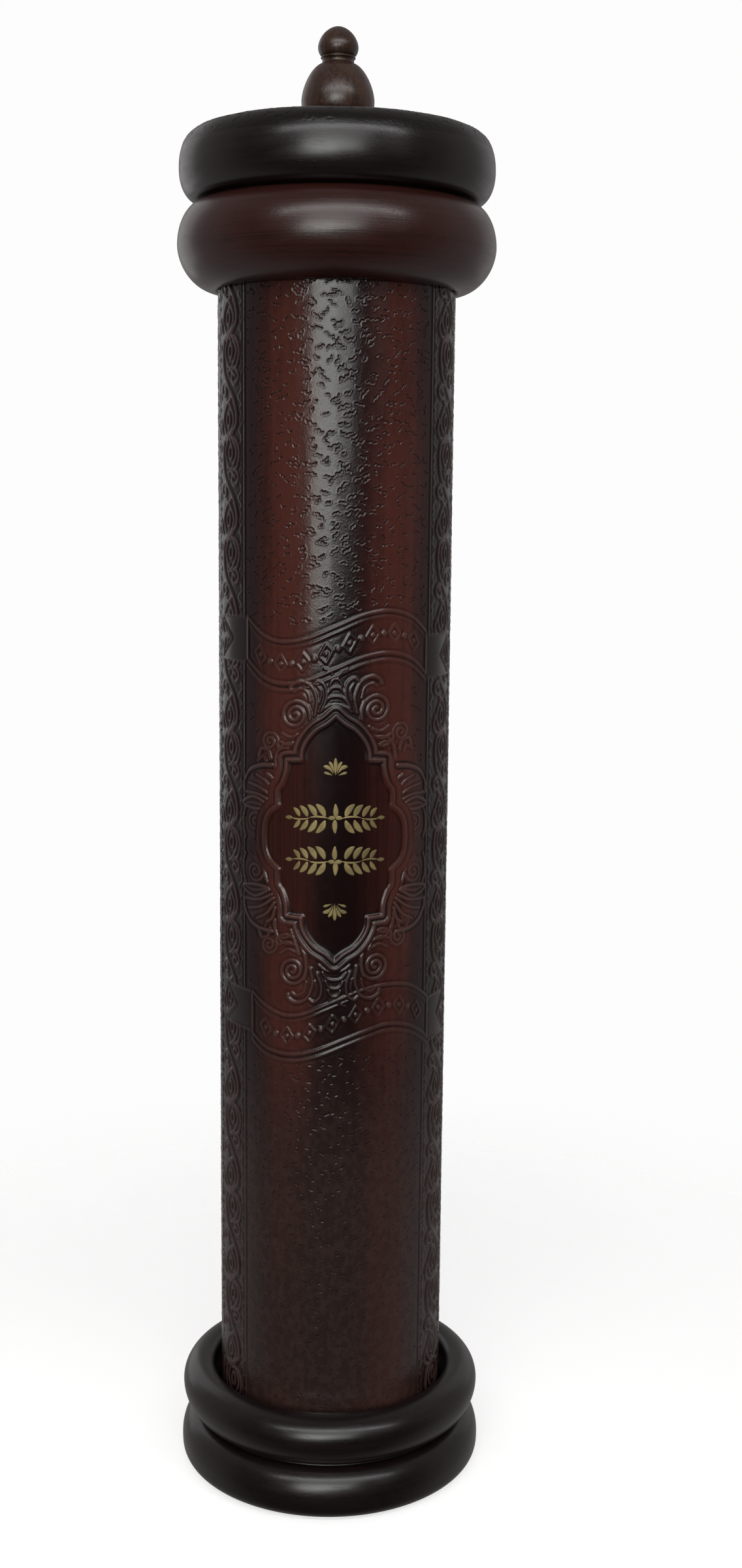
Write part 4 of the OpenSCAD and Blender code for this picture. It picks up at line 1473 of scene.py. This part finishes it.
def studio_world(pale, front, sides):
    """A pale background for the camera. What the case reflects is dimmer: dark in front of it and
    brighter beside and behind it, by the direction's y."""
    rosy = (0.8, 0.75, 0.75, 1)
    world = bpy.data.worlds.new("studio")
    nodes = Nodes(world)
    way = nodes.node("ShaderNodeTexCoord", output="Generated")
    across = nodes.node("ShaderNodeSeparateXYZ", {}, {0: way}, "Y")
    share = {"Value": across, "From Min": -0.6, "From Max": 0.15, "To Min": front, "To Max": sides}
    strength = nodes.node("ShaderNodeMapRange", {"interpolation_type": "SMOOTHSTEP"}, share)
    lit = nodes.node("ShaderNodeBackground", {}, {"Color": rosy, "Strength": strength})
    shown = nodes.node("ShaderNodeBackground", {}, {"Color": (pale, pale, pale, 1)})
    seen = nodes.node("ShaderNodeLightPath", output="Is Camera Ray")
    choice = nodes.node("ShaderNodeMixShader", {}, {0: seen, 1: lit, 2: shown})
    nodes.node("ShaderNodeOutputWorld", {}, {"Surface": choice}, output=None)
    bpy.context.scene.world = world


def floor_finish(colour):
    """Pale matt floor that fades out into the background far from the case."""
    finish = Finish("scroll_case_floor")
    centre_way = {0: finish.object_place}
    away = finish.node("ShaderNodeVectorMath", {"operation": "LENGTH"}, centre_way, "Value")
    mottle = finish.noise((0.02, 0.02, 0.02), detail=3)
    base = finish.mix(mottle, paint(colour, 0.985), paint(colour, 1.0))
    return finish.shade(Base_Color=base, Roughness=0.8 + mottle * 0.1, Alpha=away.between(0.38, 0.10),
                        Specular_IOR_Level=0.1, Emission_Color=paint(colour), Emission_Strength=0.72)


class SCROLLCASE_OT_stage(bpy.types.Operator):
    """Sets up the pale floor, the soft lights and the camera"""

    bl_idname = "scroll_case.stage"
    bl_label = "Stage"
    bl_options = {"REGISTER", "UNDO"}

    def execute(self, context):
        scene = context.scene
        reach, under, top = 500, -5, -0.02
        floor = turned("studio_floor", [(0, under), (reach, under), (reach, top), (0, top)], 96)
        floor.data.materials.append(floor_finish(scene.scroll_case_colours.floor))
        floor.visible_glossy = floor.visible_diffuse = floor.visible_shadow = False
        studio_world(pale=0.98, front=0.045, sides=0.33)
        day, cool = (0.97, 1.0, 0.95), (0.97, 1.0, 0.96)
        for name, size, place, aim, power, colour in (
                ("window_left", (0.54, 0.58), (-0.37, -1.5, 0.46), (-0.37, 0, 0.46), 5.6, day),
                ("window_middle", (0.12, 0.46), (-0.04, -1.5, 0.52), (-0.04, 0, 0.52), 1.2, day),
                ("window_right", (0.38, 0.40), (0.225, -1.5, 0.55), (0.225, 0, 0.55), 2.0, cool),
                ("far_window", (0.42, 1.0), (1.0, -1.13, 0.88), (0, 0, 0.8), 0.4, WHITE),
                ("upper_window", (1.3, 0.58), (0.0, -1.5, 1.06), (0, 0, 0.5), 3.5, WHITE),
                ("ceiling", (2.6, 0.17), (0.08, -1.2, 1.34), (0, 0, 0.4), 11, WHITE),
                ("left_wall", (0.9, 1.4), (-0.95, 1.2, 0.6), (0, 0, 0.25), 1.8, WHITE),
                ("right_wall", (0.9, 1.4), (0.95, 1.2, 0.6), (0, 0, 0.25), 0.6, WHITE)):
            softbox(name, size, place, aim, power, colour)
        scene.view_settings.view_transform = "Standard"
        self.camera(scene)
        return {"FINISHED"}

    @staticmethod
    def camera(scene):
        """A camera a little above the middle of the case, looking slightly down and leaning a hair."""
        lens = bpy.data.cameras.new("camera")
        lens.lens, lens.sensor_width, lens.sensor_fit = 41.39, 36, "AUTO"
        lens.clip_start = 0.01
        camera = bpy.data.objects.new("camera", lens)
        scene.collection.objects.link(camera)
        place = (0, -0.5463, 0.3042)
        down, aside, lean = 0.1574, 0.0209, 0.0094
        turn = Euler((np.pi / 2 - down, 0, -aside)).to_matrix() @ Matrix.Rotation(lean, 3, "Z")
        camera.matrix_world = Matrix.Translation(place) @ turn.to_4x4()
        scene.camera = camera


class SCROLLCASE_PT_sidebar(bpy.types.Panel):
    """Lists the sizes, the colours and the steps of the build"""

    bl_idname = "SCROLLCASE_PT_sidebar"
    bl_label = "Scroll Case"
    bl_space_type = "VIEW_3D"
    bl_region_type = "UI"
    bl_category = "Scroll Case"

    def draw(self, context):
        for group in (context.scene.scroll_case_turning, context.scene.scroll_case_tooling,
                      context.scene.scroll_case_colours):
            box = self.layout.box()
            for name in group.__annotations__:
                box.prop(group, name)
        for operator in STEPS:
            self.layout.operator(operator.bl_idname)


# ---------------------------------------------------------------- running it

GROUPS = {
    "scroll_case_turning": ScrollCaseTurning,
    "scroll_case_tooling": ScrollCaseTooling,
    "scroll_case_colours": ScrollCaseColours,
}
STEPS = (SCROLLCASE_OT_base, SCROLLCASE_OT_tube, SCROLLCASE_OT_leather, SCROLLCASE_OT_gold,
         SCROLLCASE_OT_lining, SCROLLCASE_OT_collar, SCROLLCASE_OT_lid, SCROLLCASE_OT_plug,
         SCROLLCASE_OT_finial, SCROLLCASE_OT_stage)


def register():
    """Registers the groups, hangs them on the scene, and registers the steps and the panel."""
    for name, group in GROUPS.items():
        bpy.utils.register_class(group)
        setattr(bpy.types.Scene, name, bpy.props.PointerProperty(type=group))
    for kind in STEPS + (SCROLLCASE_PT_sidebar,):
        bpy.utils.register_class(kind)


def unregister():
    """Takes back all that register does."""
    for kind in reversed(STEPS + (SCROLLCASE_PT_sidebar,)):
        bpy.utils.unregister_class(kind)
    for name, group in GROUPS.items():
        delattr(bpy.types.Scene, name)
        bpy.utils.unregister_class(group)


def main():
    """Registers everything, and builds the case and its stage."""
    register()
    for step in ("base", "tube", "leather", "gold", "lining", "collar", "lid", "plug", "finial",
                 "stage"):
        getattr(bpy.ops.scroll_case, step)()


if __name__ == "__main__":
    main()
